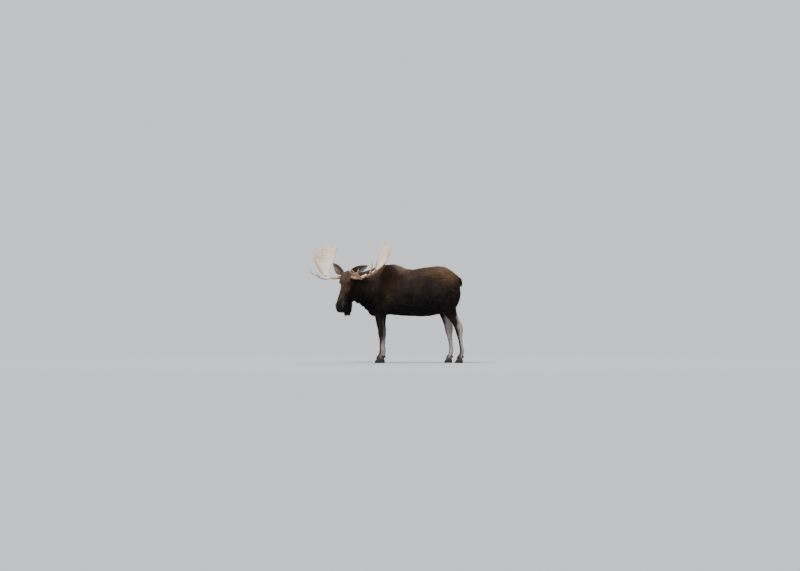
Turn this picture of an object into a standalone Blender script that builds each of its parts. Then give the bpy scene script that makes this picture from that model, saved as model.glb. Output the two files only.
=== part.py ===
"""A standing bull moose at life size, as the still solids of a museum model.

The animal stands along Y with its nose towards -Y, its left side towards +X and +Z up. Its head hangs and
is turned to its left. The body is modelled whole, from smooth bodies lofted through a few named sections and
fused into one surface, and is then parted with thin flat cuts where a person would name its parts. Antlers,
hooves and eyes are solids of their own. Every surface is the outside of the coat, out to the hair tips.
"""

import math
from collections import namedtuple

import bmesh
import bpy
from mathutils import Matrix, Vector

# ---- Driving dimensions, metres ----------------------------------------------------------------

GAP = 0.0004                # clearance between two parted pieces
SEAT_GAP = 0.0010           # clearance under a piece that sits on a rounded body
BODY_VOXEL = 0.012          # grain at which the body is fused
HEAD_VOXEL = 0.0065         # grain at which the head is fused
THIN_VOXEL = 0.0042         # grain for antlers and ears

POLL = Vector((0.205, -0.700, 1.664))       # the top of the neck, where the skull hinges
HEAD_YAW = math.radians(58.0)               # turned from straight ahead towards the left side
HEAD_PITCH = math.radians(70.0)             # muzzle below the horizontal
EYE_RADIUS = 0.0195
EYE_PLACE = (0.093, 0.212, 0.036)           # aside, along the face, towards the forehead

CORONET = 0.088             # height at which hair ends and horn begins
CLAW_LENGTH = 0.150
CLAW_WIDTH = 0.056
CLAW_SPLIT = 0.008          # cleft between the two claws of a foot
FORE_STANCE = 0.122         # a forefoot's middle, out from the body's middle plane
HIND_STANCE = 0.145
HOCK_HEIGHT = 0.600
FORE_JOINT = 0.640          # where a leg is parted, just above the knee or the hock
HIND_JOINT = 0.720

UPWARD = Vector((0.0, 0.0, 1.0))
BACKWARD = Vector((0.0, 1.0, 0.0))

Ring = namedtuple("Ring", "at side up down crown keel")
Tine = namedtuple("Tine", "root middle tip thick")
Palm = namedtuple("Palm", "edge_one edge_two cup cup_to rim_rise scallop rim_points")
Leg = namedtuple("Leg", "name kind hand top_y joint_y foot_y lean")
LegTop = namedtuple("LegTop", "front_y back_y front_z back_z inner")

LEGS = (
    Leg("foreleg_left", "fore", 1, -0.116, -0.094, -0.118, 0.0),
    Leg("foreleg_right", "fore", -1, -0.074, -0.052, -0.078, 0.0),
    Leg("hindleg_left", "hind", 1, 1.140, 1.345, 1.368, 0.617),
    Leg("hindleg_right", "hind", -1, 1.090, 1.160, 1.172, 0.307),
)

# Flat cuts: a place on the cut and the way that it faces, away from the trunk.
NECK_CUT = Vector((0.0, -0.170, 1.350))
NECK_WAY = Vector((0.10, -0.94, 0.32)).normalized()
HEAD_CUT = Vector((0.130, -0.622, 1.400))
HEAD_WAY = Vector((0.56, -0.83, -0.02)).normalized()
FORE_TOP = LegTop(-0.240, 0.090, 0.945, 0.920, 0.045)
HIND_TOP = LegTop(0.905, 1.560, 0.905, 1.140, 0.030)

# Each antler: its side, how high its front tines reach, and how its brow palm splays out and lifts.
ANTLERS = (("left", 1, 0.350, -0.045, 0.030), ("right", -1, 0.555, 0.055, -0.025))

# Points on the far rim of a main palm: how far across it, how long, how much it leans outwards, and
# its half thickness at the rim.
RIM_POINTS = ((0.030, 0.038, -0.22, 0.0115), (0.215, 0.038, -0.12, 0.0130), (0.455, 0.027, 0.03, 0.0115),
              (0.640, 0.044, 0.02, 0.0135), (0.885, 0.052, 0.06, 0.0125))

TRIANGLES = {
    "trunk": 1050, "neck": 420, "head": 1240, "bell": 170, "tail": 90, "ear": 190,
    "leg_upper": 150, "leg_lower": 220, "beam": 100, "brow": 230, "palm": 520,
}


# ---- The head's own frame ----------------------------------------------------------------------

FACING = Vector((math.sin(HEAD_YAW), -math.cos(HEAD_YAW), 0.0))
LEFTWARD = Vector((math.cos(HEAD_YAW), math.sin(HEAD_YAW), 0.0))
NOSEWARD = FACING * math.cos(HEAD_PITCH) + Vector((0.0, 0.0, -math.sin(HEAD_PITCH)))
CROWNWARD = FACING * math.sin(HEAD_PITCH) + Vector((0.0, 0.0, math.cos(HEAD_PITCH)))


def head_point(aside, along, above):
    """A place on the head: towards its left, from the poll to the nose, and out from the forehead."""
    return POLL + LEFTWARD * aside + NOSEWARD * along + CROWNWARD * above


BROW_CENTRE = head_point(0.0, 0.090, 0.030)     # midway between the two antler burrs


def antler_point(hand, outward, forward, height):
    """A place on an antler, from midway between the burrs. hand is 1 for the left one, -1 for the right."""
    return BROW_CENTRE + LEFTWARD * (hand * outward) + FACING * forward + Vector((0.0, 0.0, height))


# ---- Blender helpers ---------------------------------------------------------------------------


def clear_scene():
    """Start from an empty scene."""
    for old in list(bpy.data.objects):
        bpy.data.objects.remove(old, do_unlink=True)
    for old in list(bpy.data.meshes):
        bpy.data.meshes.remove(old)


def new_collection(name):
    made = bpy.data.collections.new(name)
    bpy.context.scene.collection.children.link(made)
    return made


def make_object(name, mesh, collection):
    made = bpy.data.objects.new(name, mesh)
    collection.objects.link(made)
    return made


def mesh_from(bm, name):
    """Turn a bmesh into a mesh whose faces all look outwards."""
    bmesh.ops.recalc_face_normals(bm, faces=bm.faces)
    mesh = bpy.data.meshes.new(name)
    bm.to_mesh(mesh)
    bm.free()
    return mesh


def smooth_between(values, t):
    """Value at t along a list of numbers or vectors, on a Catmull-Rom curve through all of them."""
    last = len(values) - 1
    i = min(int(t), last - 1)
    f = t - i
    b, c = values[i], values[i + 1]
    a = values[i - 1] if i > 0 else b * 2 - c
    d = values[i + 2] if i + 2 <= last else c * 2 - b
    return 0.5 * (b * 2 + (c - a) * f + (a * 2 - b * 5 + c * 4 - d) * f * f
                  + (b * 3 - a - c * 3 + d) * f * f * f)


def ring_outline(ring, sides):
    """Offsets (aside, upward) around one section: half an oval above its level, another half below."""
    points = []
    for k in range(sides):
        turn = 2 * math.pi * k / sides
        c, s = math.cos(turn), math.sin(turn)
        power = 2.0 / (ring.crown if s >= 0 else ring.keel)
        reach = ring.up if s >= 0 else ring.down
        aside = math.copysign(abs(c) ** power, c) * ring.side
        upward = math.copysign(abs(s) ** power, s) * reach
        points.append((aside, upward))
    return points


def loft(rings, up, sides=24, steps=4, dome=0.5):
    """A closed smooth body through the rings, with rounded ends; returns its mesh."""
    fields = [[Vector(r.at) for r in rings]] + [[r[i] for r in rings] for i in range(1, 6)]
    count = (len(rings) - 1) * steps
    sections = []
    for k in range(count + 1):
        t = k / steps
        at, side, above, below, crown, keel = (smooth_between(f, t) for f in fields)
        sections.append(Ring(at, side, above, below, crown, keel))
    bm = bmesh.new()
    loops = []

    def add_loop(ring, tangent, scale, shift):
        right = tangent.cross(up).normalized()
        above = right.cross(tangent).normalized()
        centre = ring.at + tangent * shift
        corners = [centre + right * (a * scale) + above * (b * scale) for a, b in ring_outline(ring, sides)]
        loops.append([bm.verts.new(p) for p in corners])

    for k, ring in enumerate(sections):
        ahead = sections[min(k + 1, count)].at - sections[max(k - 1, 0)].at
        tangent = ahead.normalized()
        depth = dome * min(ring.side, 0.5 * (ring.up + ring.down))
        if k == 0:
            for turn in (80, 60, 35):
                swing = math.radians(turn)
                add_loop(ring, tangent, math.cos(swing), -depth * math.sin(swing))
        add_loop(ring, tangent, 1.0, 0.0)
        if k == count:
            for turn in (35, 60, 80):
                swing = math.radians(turn)
                add_loop(ring, tangent, math.cos(swing), depth * math.sin(swing))
    for one, two in zip(loops, loops[1:]):
        for k in range(sides):
            n = (k + 1) % sides
            bm.faces.new((one[k], one[n], two[n], two[k]))
    bm.faces.new(loops[0])
    bm.faces.new(loops[-1])
    return mesh_from(bm, "loft")


def ellipsoid(centre, radii, axes=None):
    """A ball stretched along three axes; returns its mesh."""
    bm = bmesh.new()
    bmesh.ops.create_uvsphere(bm, u_segments=20, v_segments=12, radius=1.0)
    turn = Matrix(axes).transposed() if axes else Matrix.Identity(3)
    place = Matrix.Translation(centre) @ turn.to_4x4() @ Matrix.Diagonal((*radii, 1.0))
    bmesh.ops.transform(bm, matrix=place, verts=bm.verts)
    return mesh_from(bm, "ellipsoid")


def rod(points, radii, resolution=6, sides=3):
    """A round tapering rod along a smooth path, from a bevelled curve; returns its mesh."""
    curve = bpy.data.curves.new("rod", "CURVE")
    curve.dimensions = "3D"
    curve.bevel_depth = 1.0
    curve.bevel_resolution = sides
    curve.use_fill_caps = True
    steps = (len(points) - 1) * resolution
    line = curve.splines.new("POLY")
    line.points.add(steps)
    for k in range(steps + 1):
        place = smooth_between([Vector(p) for p in points], k / resolution)
        line.points[k].co = (*place, 1.0)
        line.points[k].radius = smooth_between(radii, k / resolution)
    holder = bpy.data.objects.new("rod", curve)
    bpy.context.scene.collection.objects.link(holder)
    mesh = bpy.data.meshes.new_from_object(holder.evaluated_get(bpy.context.evaluated_depsgraph_get()))
    bpy.data.objects.remove(holder)
    bm = bmesh.new()
    bm.from_mesh(mesh)
    bmesh.ops.remove_doubles(bm, verts=bm.verts, dist=0.00005)
    return mesh_from(bm, "rod")


def baked(obj):
    """The mesh of an object with its modifiers worked in; the object itself is removed."""
    mesh = bpy.data.meshes.new_from_object(obj.evaluated_get(bpy.context.evaluated_depsgraph_get()))
    bpy.data.objects.remove(obj)
    return mesh


def together(meshes):
    """Several closed meshes in one, still crossing each other."""
    bm = bmesh.new()
    for mesh in meshes:
        bm.from_mesh(mesh)
    joined = bpy.data.meshes.new("together")
    bm.to_mesh(joined)
    bm.free()
    return joined


def fused(meshes, voxel, rounds):
    """Crossing closed meshes made into one smooth skin."""
    holder = bpy.data.objects.new("fused", together(meshes))
    bpy.context.scene.collection.objects.link(holder)
    remesh = holder.modifiers.new("fuse", "REMESH")
    remesh.mode = "VOXEL"
    remesh.voxel_size = voxel
    soften = holder.modifiers.new("soften", "SMOOTH")
    soften.factor = 0.5
    soften.iterations = rounds
    return baked(holder)


def thinned(mesh, triangles):
    """The same surface with about this many triangles."""
    holder = bpy.data.objects.new("thinned", mesh)
    bpy.context.scene.collection.objects.link(holder)
    holder.modifiers.new("split", "TRIANGULATE")
    now = sum(len(face.vertices) - 2 for face in mesh.polygons)
    if now > triangles:
        fewer = holder.modifiers.new("thin", "DECIMATE")
        fewer.ratio = triangles / now
        fewer.use_collapse_triangulate = True
    return baked(holder)


def trimmed(mesh, point, outward, keep_gap=0.5 * GAP):
    """Cut the mesh flat across a plane and drop what lies on its outward side, less half the clearance."""
    bm = bmesh.new()
    bm.from_mesh(mesh)
    normal = Vector(outward).normalized()
    place = Vector(point) - normal * keep_gap
    geometry = bm.verts[:] + bm.edges[:] + bm.faces[:]
    cut = bmesh.ops.bisect_plane(bm, geom=geometry, dist=0.00001, plane_co=place, plane_no=normal,
                                 clear_outer=True)
    rim = [g for g in cut["geom_cut"] if isinstance(g, bmesh.types.BMEdge) and g.is_boundary]
    bmesh.ops.triangle_fill(bm, use_beauty=True, edges=rim, normal=normal)
    bmesh.ops.remove_doubles(bm, verts=bm.verts, dist=0.00005)
    bmesh.ops.triangulate(bm, faces=[f for f in bm.faces if len(f.verts) > 3])
    return mesh_from(bm, "trimmed")


def biggest_part(mesh):
    """Only the connected piece of the mesh that has most faces."""
    bm = bmesh.new()
    bm.from_mesh(mesh)
    left = set(bm.verts)
    shells = []
    while left:
        todo = [left.pop()]
        shell = set(todo)
        while todo:
            for edge in todo.pop().link_edges:
                for vert in edge.verts:
                    if vert in left:
                        left.remove(vert)
                        shell.add(vert)
                        todo.append(vert)
        shells.append(shell)
    keep = max(shells, key=len)
    bmesh.ops.delete(bm, geom=[v for v in bm.verts if v not in keep], context="VERTS")
    return mesh_from(bm, "shell")


def slab(point, outward, along, half_along, half_across, reach):
    """A box that starts at a plane and reaches outward from it; returns its mesh."""
    normal = Vector(outward).normalized()
    side = Vector(along).normalized()
    side = (side - normal * side.dot(normal)).normalized()
    across = normal.cross(side)
    bm = bmesh.new()
    bmesh.ops.create_cube(bm, size=2.0)
    turn = Matrix((side, across, normal)).transposed().to_4x4()
    sizes = (half_along, half_across, 0.5 * reach)
    place = Matrix.Translation(Vector(point) + normal * (0.5 * reach)) @ turn @ Matrix.Diagonal((*sizes, 1.0))
    bmesh.ops.transform(bm, matrix=place, verts=bm.verts)
    return mesh_from(bm, "slab")


def grown(mesh, distance):
    """A copy of the mesh with its surface moved out by a small distance."""
    bm = bmesh.new()
    bm.from_mesh(mesh)
    bm.normal_update()
    moves = [vert.normal * (distance * vert.calc_shell_factor()) for vert in bm.verts]
    for vert, move in zip(bm.verts, moves):
        vert.co += move
    return mesh_from(bm, "grown")


def combined(mesh, tool, operation):
    """Boolean of a mesh with a tool mesh."""
    holder = bpy.data.objects.new("work", mesh)
    cutter = bpy.data.objects.new("tool", tool)
    for obj in (holder, cutter):
        bpy.context.scene.collection.objects.link(obj)
    cut = holder.modifiers.new("cut", "BOOLEAN")
    cut.operation = operation
    cut.solver = "EXACT"
    cut.object = cutter
    result = baked(holder)
    bpy.data.objects.remove(cutter)
    return result


def seated(mesh, *bodies):
    """The mesh cut back to the surface of the bodies that it sits on, less the clearance.

    The body itself is taken away as well, since its grown copy can fall short in a tight hollow.
    """
    for body in bodies:
        mesh = combined(mesh, grown(body, SEAT_GAP), "DIFFERENCE")
        mesh = combined(mesh, body.copy(), "DIFFERENCE")
    return biggest_part(mesh)


def finish_mesh(mesh):
    """Weld specks and make every face a triangle."""
    bm = bmesh.new()
    bm.from_mesh(mesh)
    bmesh.ops.remove_doubles(bm, verts=bm.verts, dist=0.00005)
    bmesh.ops.dissolve_degenerate(bm, edges=bm.edges, dist=0.00005)
    bmesh.ops.triangulate(bm, faces=bm.faces)
    return mesh_from(bm, "finished")


def bottom_centre(meshes):
    """The middle of the underside of the box that holds all the meshes."""
    places = [vert.co for mesh in meshes for vert in mesh.vertices]
    low = [min(place[axis] for place in places) for axis in range(3)]
    high = [max(place[axis] for place in places) for axis in range(3)]
    return Vector((0.5 * (low[0] + high[0]), 0.5 * (low[1] + high[1]), low[2]))


def coloured(name, colour, roughness):
    """A Principled material."""
    made = bpy.data.materials.new(name)
    made.use_nodes = True
    shader = made.node_tree.nodes["Principled BSDF"]
    shader.inputs["Base Color"].default_value = (*colour, 1.0)
    shader.inputs["Roughness"].default_value = roughness
    shader.inputs["Metallic"].default_value = 0.0
    return made


# ---- The body ----------------------------------------------------------------------------------


def trunk_meshes():
    """Barrel from chest to rump, with shoulder blades, brisket and haunches laid on it."""
    barrel = [
        Ring((0.0, -0.270, 1.290), 0.150, 0.330, 0.330, 2.0, 1.8),      # breast
        Ring((0.0, -0.160, 1.320), 0.215, 0.466, 0.440, 1.8, 1.8),      # point of the shoulder
        Ring((0.0, 0.000, 1.330), 0.250, 0.506, 0.450, 1.6, 1.8),       # withers
        Ring((0.0, 0.120, 1.310), 0.272, 0.531, 0.430, 1.55, 1.9),      # hump
        Ring((0.0, 0.250, 1.280), 0.292, 0.492, 0.404, 1.7, 2.0),
        Ring((0.0, 0.370, 1.255), 0.306, 0.490, 0.386, 1.9, 2.1),       # girth
        Ring((0.0, 0.520, 1.240), 0.316, 0.502, 0.380, 2.0, 2.2),       # ribs
        Ring((0.0, 0.720, 1.250), 0.312, 0.524, 0.388, 2.1, 2.2),       # belly
        Ring((0.0, 0.900, 1.300), 0.272, 0.506, 0.405, 2.0, 2.0),       # flank
        Ring((0.0, 1.060, 1.350), 0.250, 0.466, 0.390, 1.9, 2.0),       # hips
        Ring((0.0, 1.200, 1.380), 0.222, 0.396, 0.330, 1.9, 2.0),       # croup
        Ring((0.0, 1.316, 1.400), 0.155, 0.275, 0.240, 1.9, 2.0),       # buttocks
    ]
    parts = [loft(barrel, UPWARD, dome=0.35)]
    parts.append(ellipsoid((0.0, -0.215, 1.030), (0.130, 0.150, 0.168)))    # brisket
    parts.append(ellipsoid((0.0, 1.215, 1.500), (0.120, 0.160, 0.185)))     # tail head
    for hand in (1, -1):
        parts.append(ellipsoid((hand * 0.130, 0.030, 1.480), (0.125, 0.190, 0.290)))    # shoulder blade
        parts.append(ellipsoid((hand * 0.155, -0.040, 1.250), (0.120, 0.190, 0.330)))   # upper arm
        parts.append(ellipsoid((hand * 0.140, -0.155, 1.130), (0.095, 0.135, 0.190)))   # point of shoulder
        parts.append(ellipsoid((hand * 0.120, 1.020, 1.548), (0.135, 0.230, 0.190)))    # hip
        parts.append(ellipsoid((hand * 0.160, 1.100, 1.320), (0.128, 0.240, 0.320)))    # haunch
        parts.append(ellipsoid((hand * 0.105, 1.245, 1.270), (0.105, 0.125, 0.280)))    # hamstrings
    return [fused(parts, 0.020, 14)]


def neck_mesh():
    """Deep neck with its mane, bent towards the left side, narrower at the throat."""
    rings = [
        Ring((0.000, 0.080, 1.420), 0.200, 0.412, 0.380, 1.6, 1.8),
        Ring((0.005, -0.080, 1.400), 0.225, 0.411, 0.430, 1.7, 1.7),
        Ring((0.022, -0.240, 1.390), 0.205, 0.372, 0.468, 1.8, 1.6),
        Ring((0.055, -0.370, 1.400), 0.182, 0.322, 0.378, 1.9, 1.6),
        Ring((0.098, -0.490, 1.415), 0.160, 0.275, 0.312, 2.0, 1.6),
        Ring((0.142, -0.595, 1.440), 0.135, 0.222, 0.290, 2.0, 1.6),
        Ring((0.168, -0.650, 1.450), 0.110, 0.190, 0.245, 2.0, 1.7),
    ]
    return loft(rings, UPWARD, dome=0.4)


def tail_mesh():
    """Short tail that hangs close to the rump."""
    rings = [
        Ring((0.0, 1.325, 1.590), 0.034, 0.022, 0.030, 2.0, 2.0),
        Ring((0.0, 1.364, 1.550), 0.044, 0.026, 0.034, 2.0, 2.0),
        Ring((0.0, 1.384, 1.495), 0.040, 0.024, 0.030, 2.0, 2.0),
        Ring((0.0, 1.390, 1.440), 0.024, 0.018, 0.018, 2.0, 2.0),
    ]
    return loft(rings, BACKWARD, sides=16, dome=0.8)


def foreleg_mesh(leg):
    """Fore limb from the shoulder to the coronet; up is the animal's front."""
    elbow, knee, foot = leg.top_y, leg.joint_y, leg.foot_y
    rings = [
        # place of the middle, half width, reach in front, reach behind
        (elbow - 0.012, 1.240, 0.165, 0.088, 0.120, 0.150),
        (elbow + 0.003, 1.080, 0.158, 0.086, 0.112, 0.130),
        (elbow + 0.000, 0.960, 0.148, 0.076, 0.108, 0.105),
        (elbow - 0.003, 0.840, 0.138, 0.064, 0.088, 0.080),
        (elbow + 0.004, 0.720, 0.130, 0.052, 0.070, 0.064),
        (knee, 0.620, 0.126, 0.048, 0.060, 0.054),
        (knee, 0.555, 0.125, 0.049, 0.060, 0.054),
        (knee + 0.002, 0.495, 0.124, 0.043, 0.049, 0.049),
        (knee + 0.002, 0.420, 0.123, 0.034, 0.038, 0.040),
        (knee + 0.000, 0.310, 0.122, 0.033, 0.035, 0.038),
        (foot + 0.030, 0.225, 0.122, 0.040, 0.040, 0.046),
        (foot + 0.016, 0.160, 0.122, 0.043, 0.040, 0.044),
        (foot - 0.006, 0.110, 0.122, 0.056, 0.052, 0.054),
        (foot - 0.016, 0.070, 0.122, 0.057, 0.056, 0.056),
    ]
    return limb_loft(leg, rings)


def hindleg_mesh(leg):
    """Hind limb from the hip to the coronet; up is the animal's front."""
    hip, hock, foot = leg.top_y, leg.joint_y, leg.foot_y

    def shin(height):
        """How far forward of the hock the gaskin's middle lies at a height."""
        rise = height - HOCK_HEIGHT
        return hock - leg.lean * rise * rise / (rise + 0.12)

    rings = [
        (hip + 0.010, 1.330, 0.172, 0.100, 0.190, 0.205),
        (hip + 0.000, 1.170, 0.178, 0.102, 0.180, 0.215),
        (0.5 * (hip + shin(1.060)), 1.060, 0.178, 0.092, 0.150, 0.178),
        (shin(0.960), 0.960, 0.172, 0.078, 0.118, 0.132),
        (shin(0.870), 0.870, 0.165, 0.064, 0.096, 0.102),
        (shin(0.780), 0.780, 0.158, 0.052, 0.082, 0.084),
        (shin(0.700), 0.700, 0.152, 0.047, 0.076, 0.090),
        (shin(0.640), 0.640, 0.149, 0.049, 0.074, 0.088),
        (hock + 0.006, 0.560, 0.148, 0.047, 0.062, 0.070),
        (hock + 0.018, 0.480, 0.146, 0.039, 0.048, 0.050),
        (hock + 0.030, 0.400, 0.145, 0.035, 0.039, 0.042),
        (hock + 0.040, 0.310, 0.145, 0.034, 0.036, 0.040),
        (foot + 0.034, 0.225, 0.145, 0.040, 0.041, 0.047),
        (foot + 0.018, 0.160, 0.145, 0.042, 0.040, 0.045),
        (foot - 0.004, 0.110, 0.145, 0.054, 0.050, 0.053),
        (foot - 0.014, 0.070, 0.145, 0.055, 0.054, 0.055),
    ]
    return limb_loft(leg, rings)


def limb_loft(leg, rings):
    """A limb from its sections, each a flat ring, wider behind than across."""
    made = [Ring((leg.hand * aside, y, z), half, front, back, 2.15, 2.0)
            for y, z, aside, half, front, back in rings]
    return loft(made, -BACKWARD, sides=20, dome=0.2)


# ---- The head ----------------------------------------------------------------------------------


def head_ring(along, above, side, up, down, crown=2.0, keel=2.0):
    """A section across the head, given in the head's own frame."""
    return Ring(head_point(0.0, along, above), side, up, down, crown, keel)


def head_meshes():
    """Skull, long nose with its overhanging lip, jaw, cheeks and brows."""
    skull = [
        head_ring(-0.020, -0.012, 0.070, 0.060, 0.080),
        head_ring(0.045, -0.014, 0.106, 0.106, 0.140, 2.2, 2.0),
        head_ring(0.115, -0.016, 0.112, 0.118, 0.165, 2.3, 2.0),
        head_ring(0.200, -0.020, 0.108, 0.116, 0.170, 2.3, 2.0),
        head_ring(0.290, -0.028, 0.101, 0.106, 0.145, 2.2, 2.0),
        head_ring(0.380, -0.028, 0.099, 0.102, 0.112, 2.2, 2.1),
        head_ring(0.470, -0.020, 0.103, 0.104, 0.094, 2.3, 2.2),
        head_ring(0.560, -0.010, 0.108, 0.108, 0.088, 2.3, 2.3),
        head_ring(0.640, -0.010, 0.111, 0.102, 0.090, 2.3, 2.4),
        head_ring(0.705, -0.020, 0.108, 0.086, 0.080, 2.4, 2.4),
        head_ring(0.744, -0.032, 0.090, 0.062, 0.062, 2.4, 2.3),
    ]
    jaw = [
        head_ring(0.120, -0.110, 0.080, 0.080, 0.085),
        head_ring(0.210, -0.125, 0.076, 0.080, 0.080),
        head_ring(0.320, -0.122, 0.064, 0.070, 0.068),
        head_ring(0.430, -0.116, 0.056, 0.050, 0.056),
        head_ring(0.540, -0.118, 0.054, 0.045, 0.050),
        head_ring(0.625, -0.124, 0.052, 0.042, 0.046),
        head_ring(0.662, -0.122, 0.040, 0.030, 0.034),
    ]
    axes = (LEFTWARD, NOSEWARD, CROWNWARD)
    parts = [loft(skull, CROWNWARD, dome=0.35), loft(jaw, CROWNWARD, sides=20, dome=0.5)]
    for hand in (1, -1):
        for place, radii in (
            ((0.074, 0.190, -0.095), (0.050, 0.100, 0.085)),    # cheek
            ((0.084, 0.182, 0.060), (0.032, 0.055, 0.032)),     # brow
            ((0.070, 0.640, 0.030), (0.040, 0.062, 0.050)),     # nostril
            ((0.098, 0.080, 0.030), (0.030, 0.040, 0.036)),     # pedicle of the antler
        ):
            parts.append(ellipsoid(head_point(hand * place[0], place[1], place[2]), radii, axes))
    return parts


def bell_meshes():
    """Broad short bell under the throat, hanging straight down to a ragged end of two lobes."""
    top = head_point(0.0, 0.330, -0.150)
    rings = [
        Ring(top, 0.050, 0.080, 0.064, 2.0, 2.0),
        Ring((0.184, -0.690, 1.180), 0.058, 0.082, 0.084, 2.0, 2.0),
        Ring((0.188, -0.700, 1.090), 0.062, 0.082, 0.094, 2.1, 2.1),
        Ring((0.192, -0.706, 1.000), 0.060, 0.086, 0.092, 2.1, 2.1),
        Ring((0.196, -0.712, 0.940), 0.048, 0.070, 0.068, 2.0, 2.0),
    ]
    lobes = [
        ellipsoid((0.224, -0.744, 0.930), (0.042, 0.036, 0.042)),
        ellipsoid((0.172, -0.688, 0.934), (0.040, 0.034, 0.040)),
    ]
    return [loft(rings, FACING, sides=20, dome=0.6)] + lobes


def ear_meshes(hand, outward, rise):
    """Long leaf-shaped ear, cupped towards the front: a bent sheet given its thickness, on a round root."""
    root = antler_point(hand, 0.098, -0.020, 0.075)
    tip = antler_point(hand, outward, -0.085, rise)
    length = (tip - root).length
    along = (tip - root).normalized()
    open_side = FACING - UPWARD * 0.15
    open_side = (open_side - along * open_side.dot(along)).normalized()
    across = along.cross(open_side).normalized()
    rows, columns = 14, 10
    bm = bmesh.new()
    grid = []
    for i in range(rows + 1):
        t = i / rows
        half_width = 0.014 + 0.056 * math.sin(math.pi * min(1.0, 0.10 + 0.93 * t ** 0.85)) ** 0.8
        bend = math.radians(118 - 62 * t)
        radius = half_width / max(0.35, math.sin(min(bend, math.pi / 2)))
        row = []
        for j in range(columns + 1):
            swing = bend * (2 * j / columns - 1)
            place = root + along * (length * t) + across * (radius * math.sin(swing))
            row.append(bm.verts.new(place + open_side * (radius * (0.55 - math.cos(swing)))))
        grid.append(row)
    for one, two in zip(grid, grid[1:]):
        for j in range(columns):
            bm.faces.new((one[j], one[j + 1], two[j + 1], two[j]))
    holder = bpy.data.objects.new("ear", mesh_from(bm, "ear"))
    bpy.context.scene.collection.objects.link(holder)
    thick = holder.modifiers.new("thickness", "SOLIDIFY")
    thick.thickness = 0.016
    thick.offset = 0.0
    stub = rod([head_point(hand * 0.070, 0.020, 0.020), root, root + along * 0.060], [0.038, 0.032, 0.024])
    return [baked(holder), stub]


# ---- Antlers -----------------------------------------------------------------------------------


def beam_meshes(hand):
    """Stem of the antler, from the burr on the skull to the fork."""
    path = [(0.085, 0.000, 0.004), (0.180, 0.010, -0.014), (0.270, 0.022, -0.018), (0.350, 0.026, -0.006),
            (0.445, 0.004, 0.040)]
    points = [antler_point(hand, *place) for place in path]
    burr = rod([antler_point(hand, 0.112, 0.002, 0.000), antler_point(hand, 0.140, 0.005, -0.006)],
               [0.038, 0.034], resolution=2)
    return [rod(points, [0.032, 0.0255, 0.024, 0.027, 0.028]), burr]


def blade_place(palm, t, q):
    """A place in the middle of a palm's thickness: t from root to rim, q across from its first edge."""
    one = smooth_between(palm.edge_one, t * (len(palm.edge_one) - 1))
    two = smooth_between(palm.edge_two, t * (len(palm.edge_two) - 1))
    bow = 4 * q * (1 - q)
    dish = palm.cup * bow * math.sin(math.pi * min(1.0, 0.25 + 0.5 * t))
    near = max((math.exp(-((q - place) / 0.055) ** 2) for place in palm.rim_points), default=0.0)
    rise = palm.rim_rise * math.sqrt(bow) * (1.3 - 0.6 * q) * t ** 4 + palm.scallop * (near - 0.4) * t ** 8
    return one.lerp(two, q) - palm.cup_to * dish + rim_way(palm) * rise


def rim_way(palm):
    """The way that a palm's far rim faces."""
    return (palm.edge_one[-1] - palm.edge_one[-2] + palm.edge_two[-1] - palm.edge_two[-2]).normalized()


def blade(palm, root_half, rim_half, rows=14, columns=12):
    """A thick bowed plate between the palm's two edge curves; returns its mesh."""
    sheets = []
    bm = bmesh.new()
    for face in (1, -1):
        grid = []
        for i in range(rows + 1):
            t = i / rows
            row = []
            for j in range(columns + 1):
                q = j / columns
                bow = 4 * q * (1 - q)
                half = (root_half + (rim_half - root_half) * t) * (0.55 + 0.45 * bow)
                row.append(bm.verts.new(blade_place(palm, t, q) + palm.cup_to * (face * half)))
            grid.append(row)
        for one, two in zip(grid, grid[1:]):
            for j in range(columns):
                bm.faces.new((one[j], one[j + 1], two[j + 1], two[j]))
        far_side = [row[-1] for row in grid[1:]] + grid[-1][-2::-1]
        sheets.append(grid[0] + far_side + [row[0] for row in grid[-2:0:-1]])
    total = len(sheets[0])
    for k in range(total):
        n = (k + 1) % total
        bm.faces.new((sheets[0][k], sheets[0][n], sheets[1][n], sheets[1][k]))
    return mesh_from(bm, "blade")


def tine_meshes(hand, tines):
    """Curved pointed tines, thickest at the root."""
    made = []
    for tine in tines:
        points = [antler_point(hand, *place) for place in (tine.root, tine.middle, tine.tip)]
        made.append(rod(points, [tine.thick, 0.80 * tine.thick, 0.0040]))
    return made


def rim_point(palm, q, length, turn, thick):
    """A point of bone that grows straight out of a palm's rim, in line with the plate."""
    root = blade_place(palm, 0.86, q)
    rim = blade_place(palm, 1.0, q)
    across = (palm.edge_two[-1] - palm.edge_one[-1]).normalized()
    way = (rim_way(palm) * 0.6 + (rim - root).normalized() * 0.4 + across * turn).normalized()
    return rod([root, rim, rim + way * length], [0.0085, thick, 0.0040])


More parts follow.
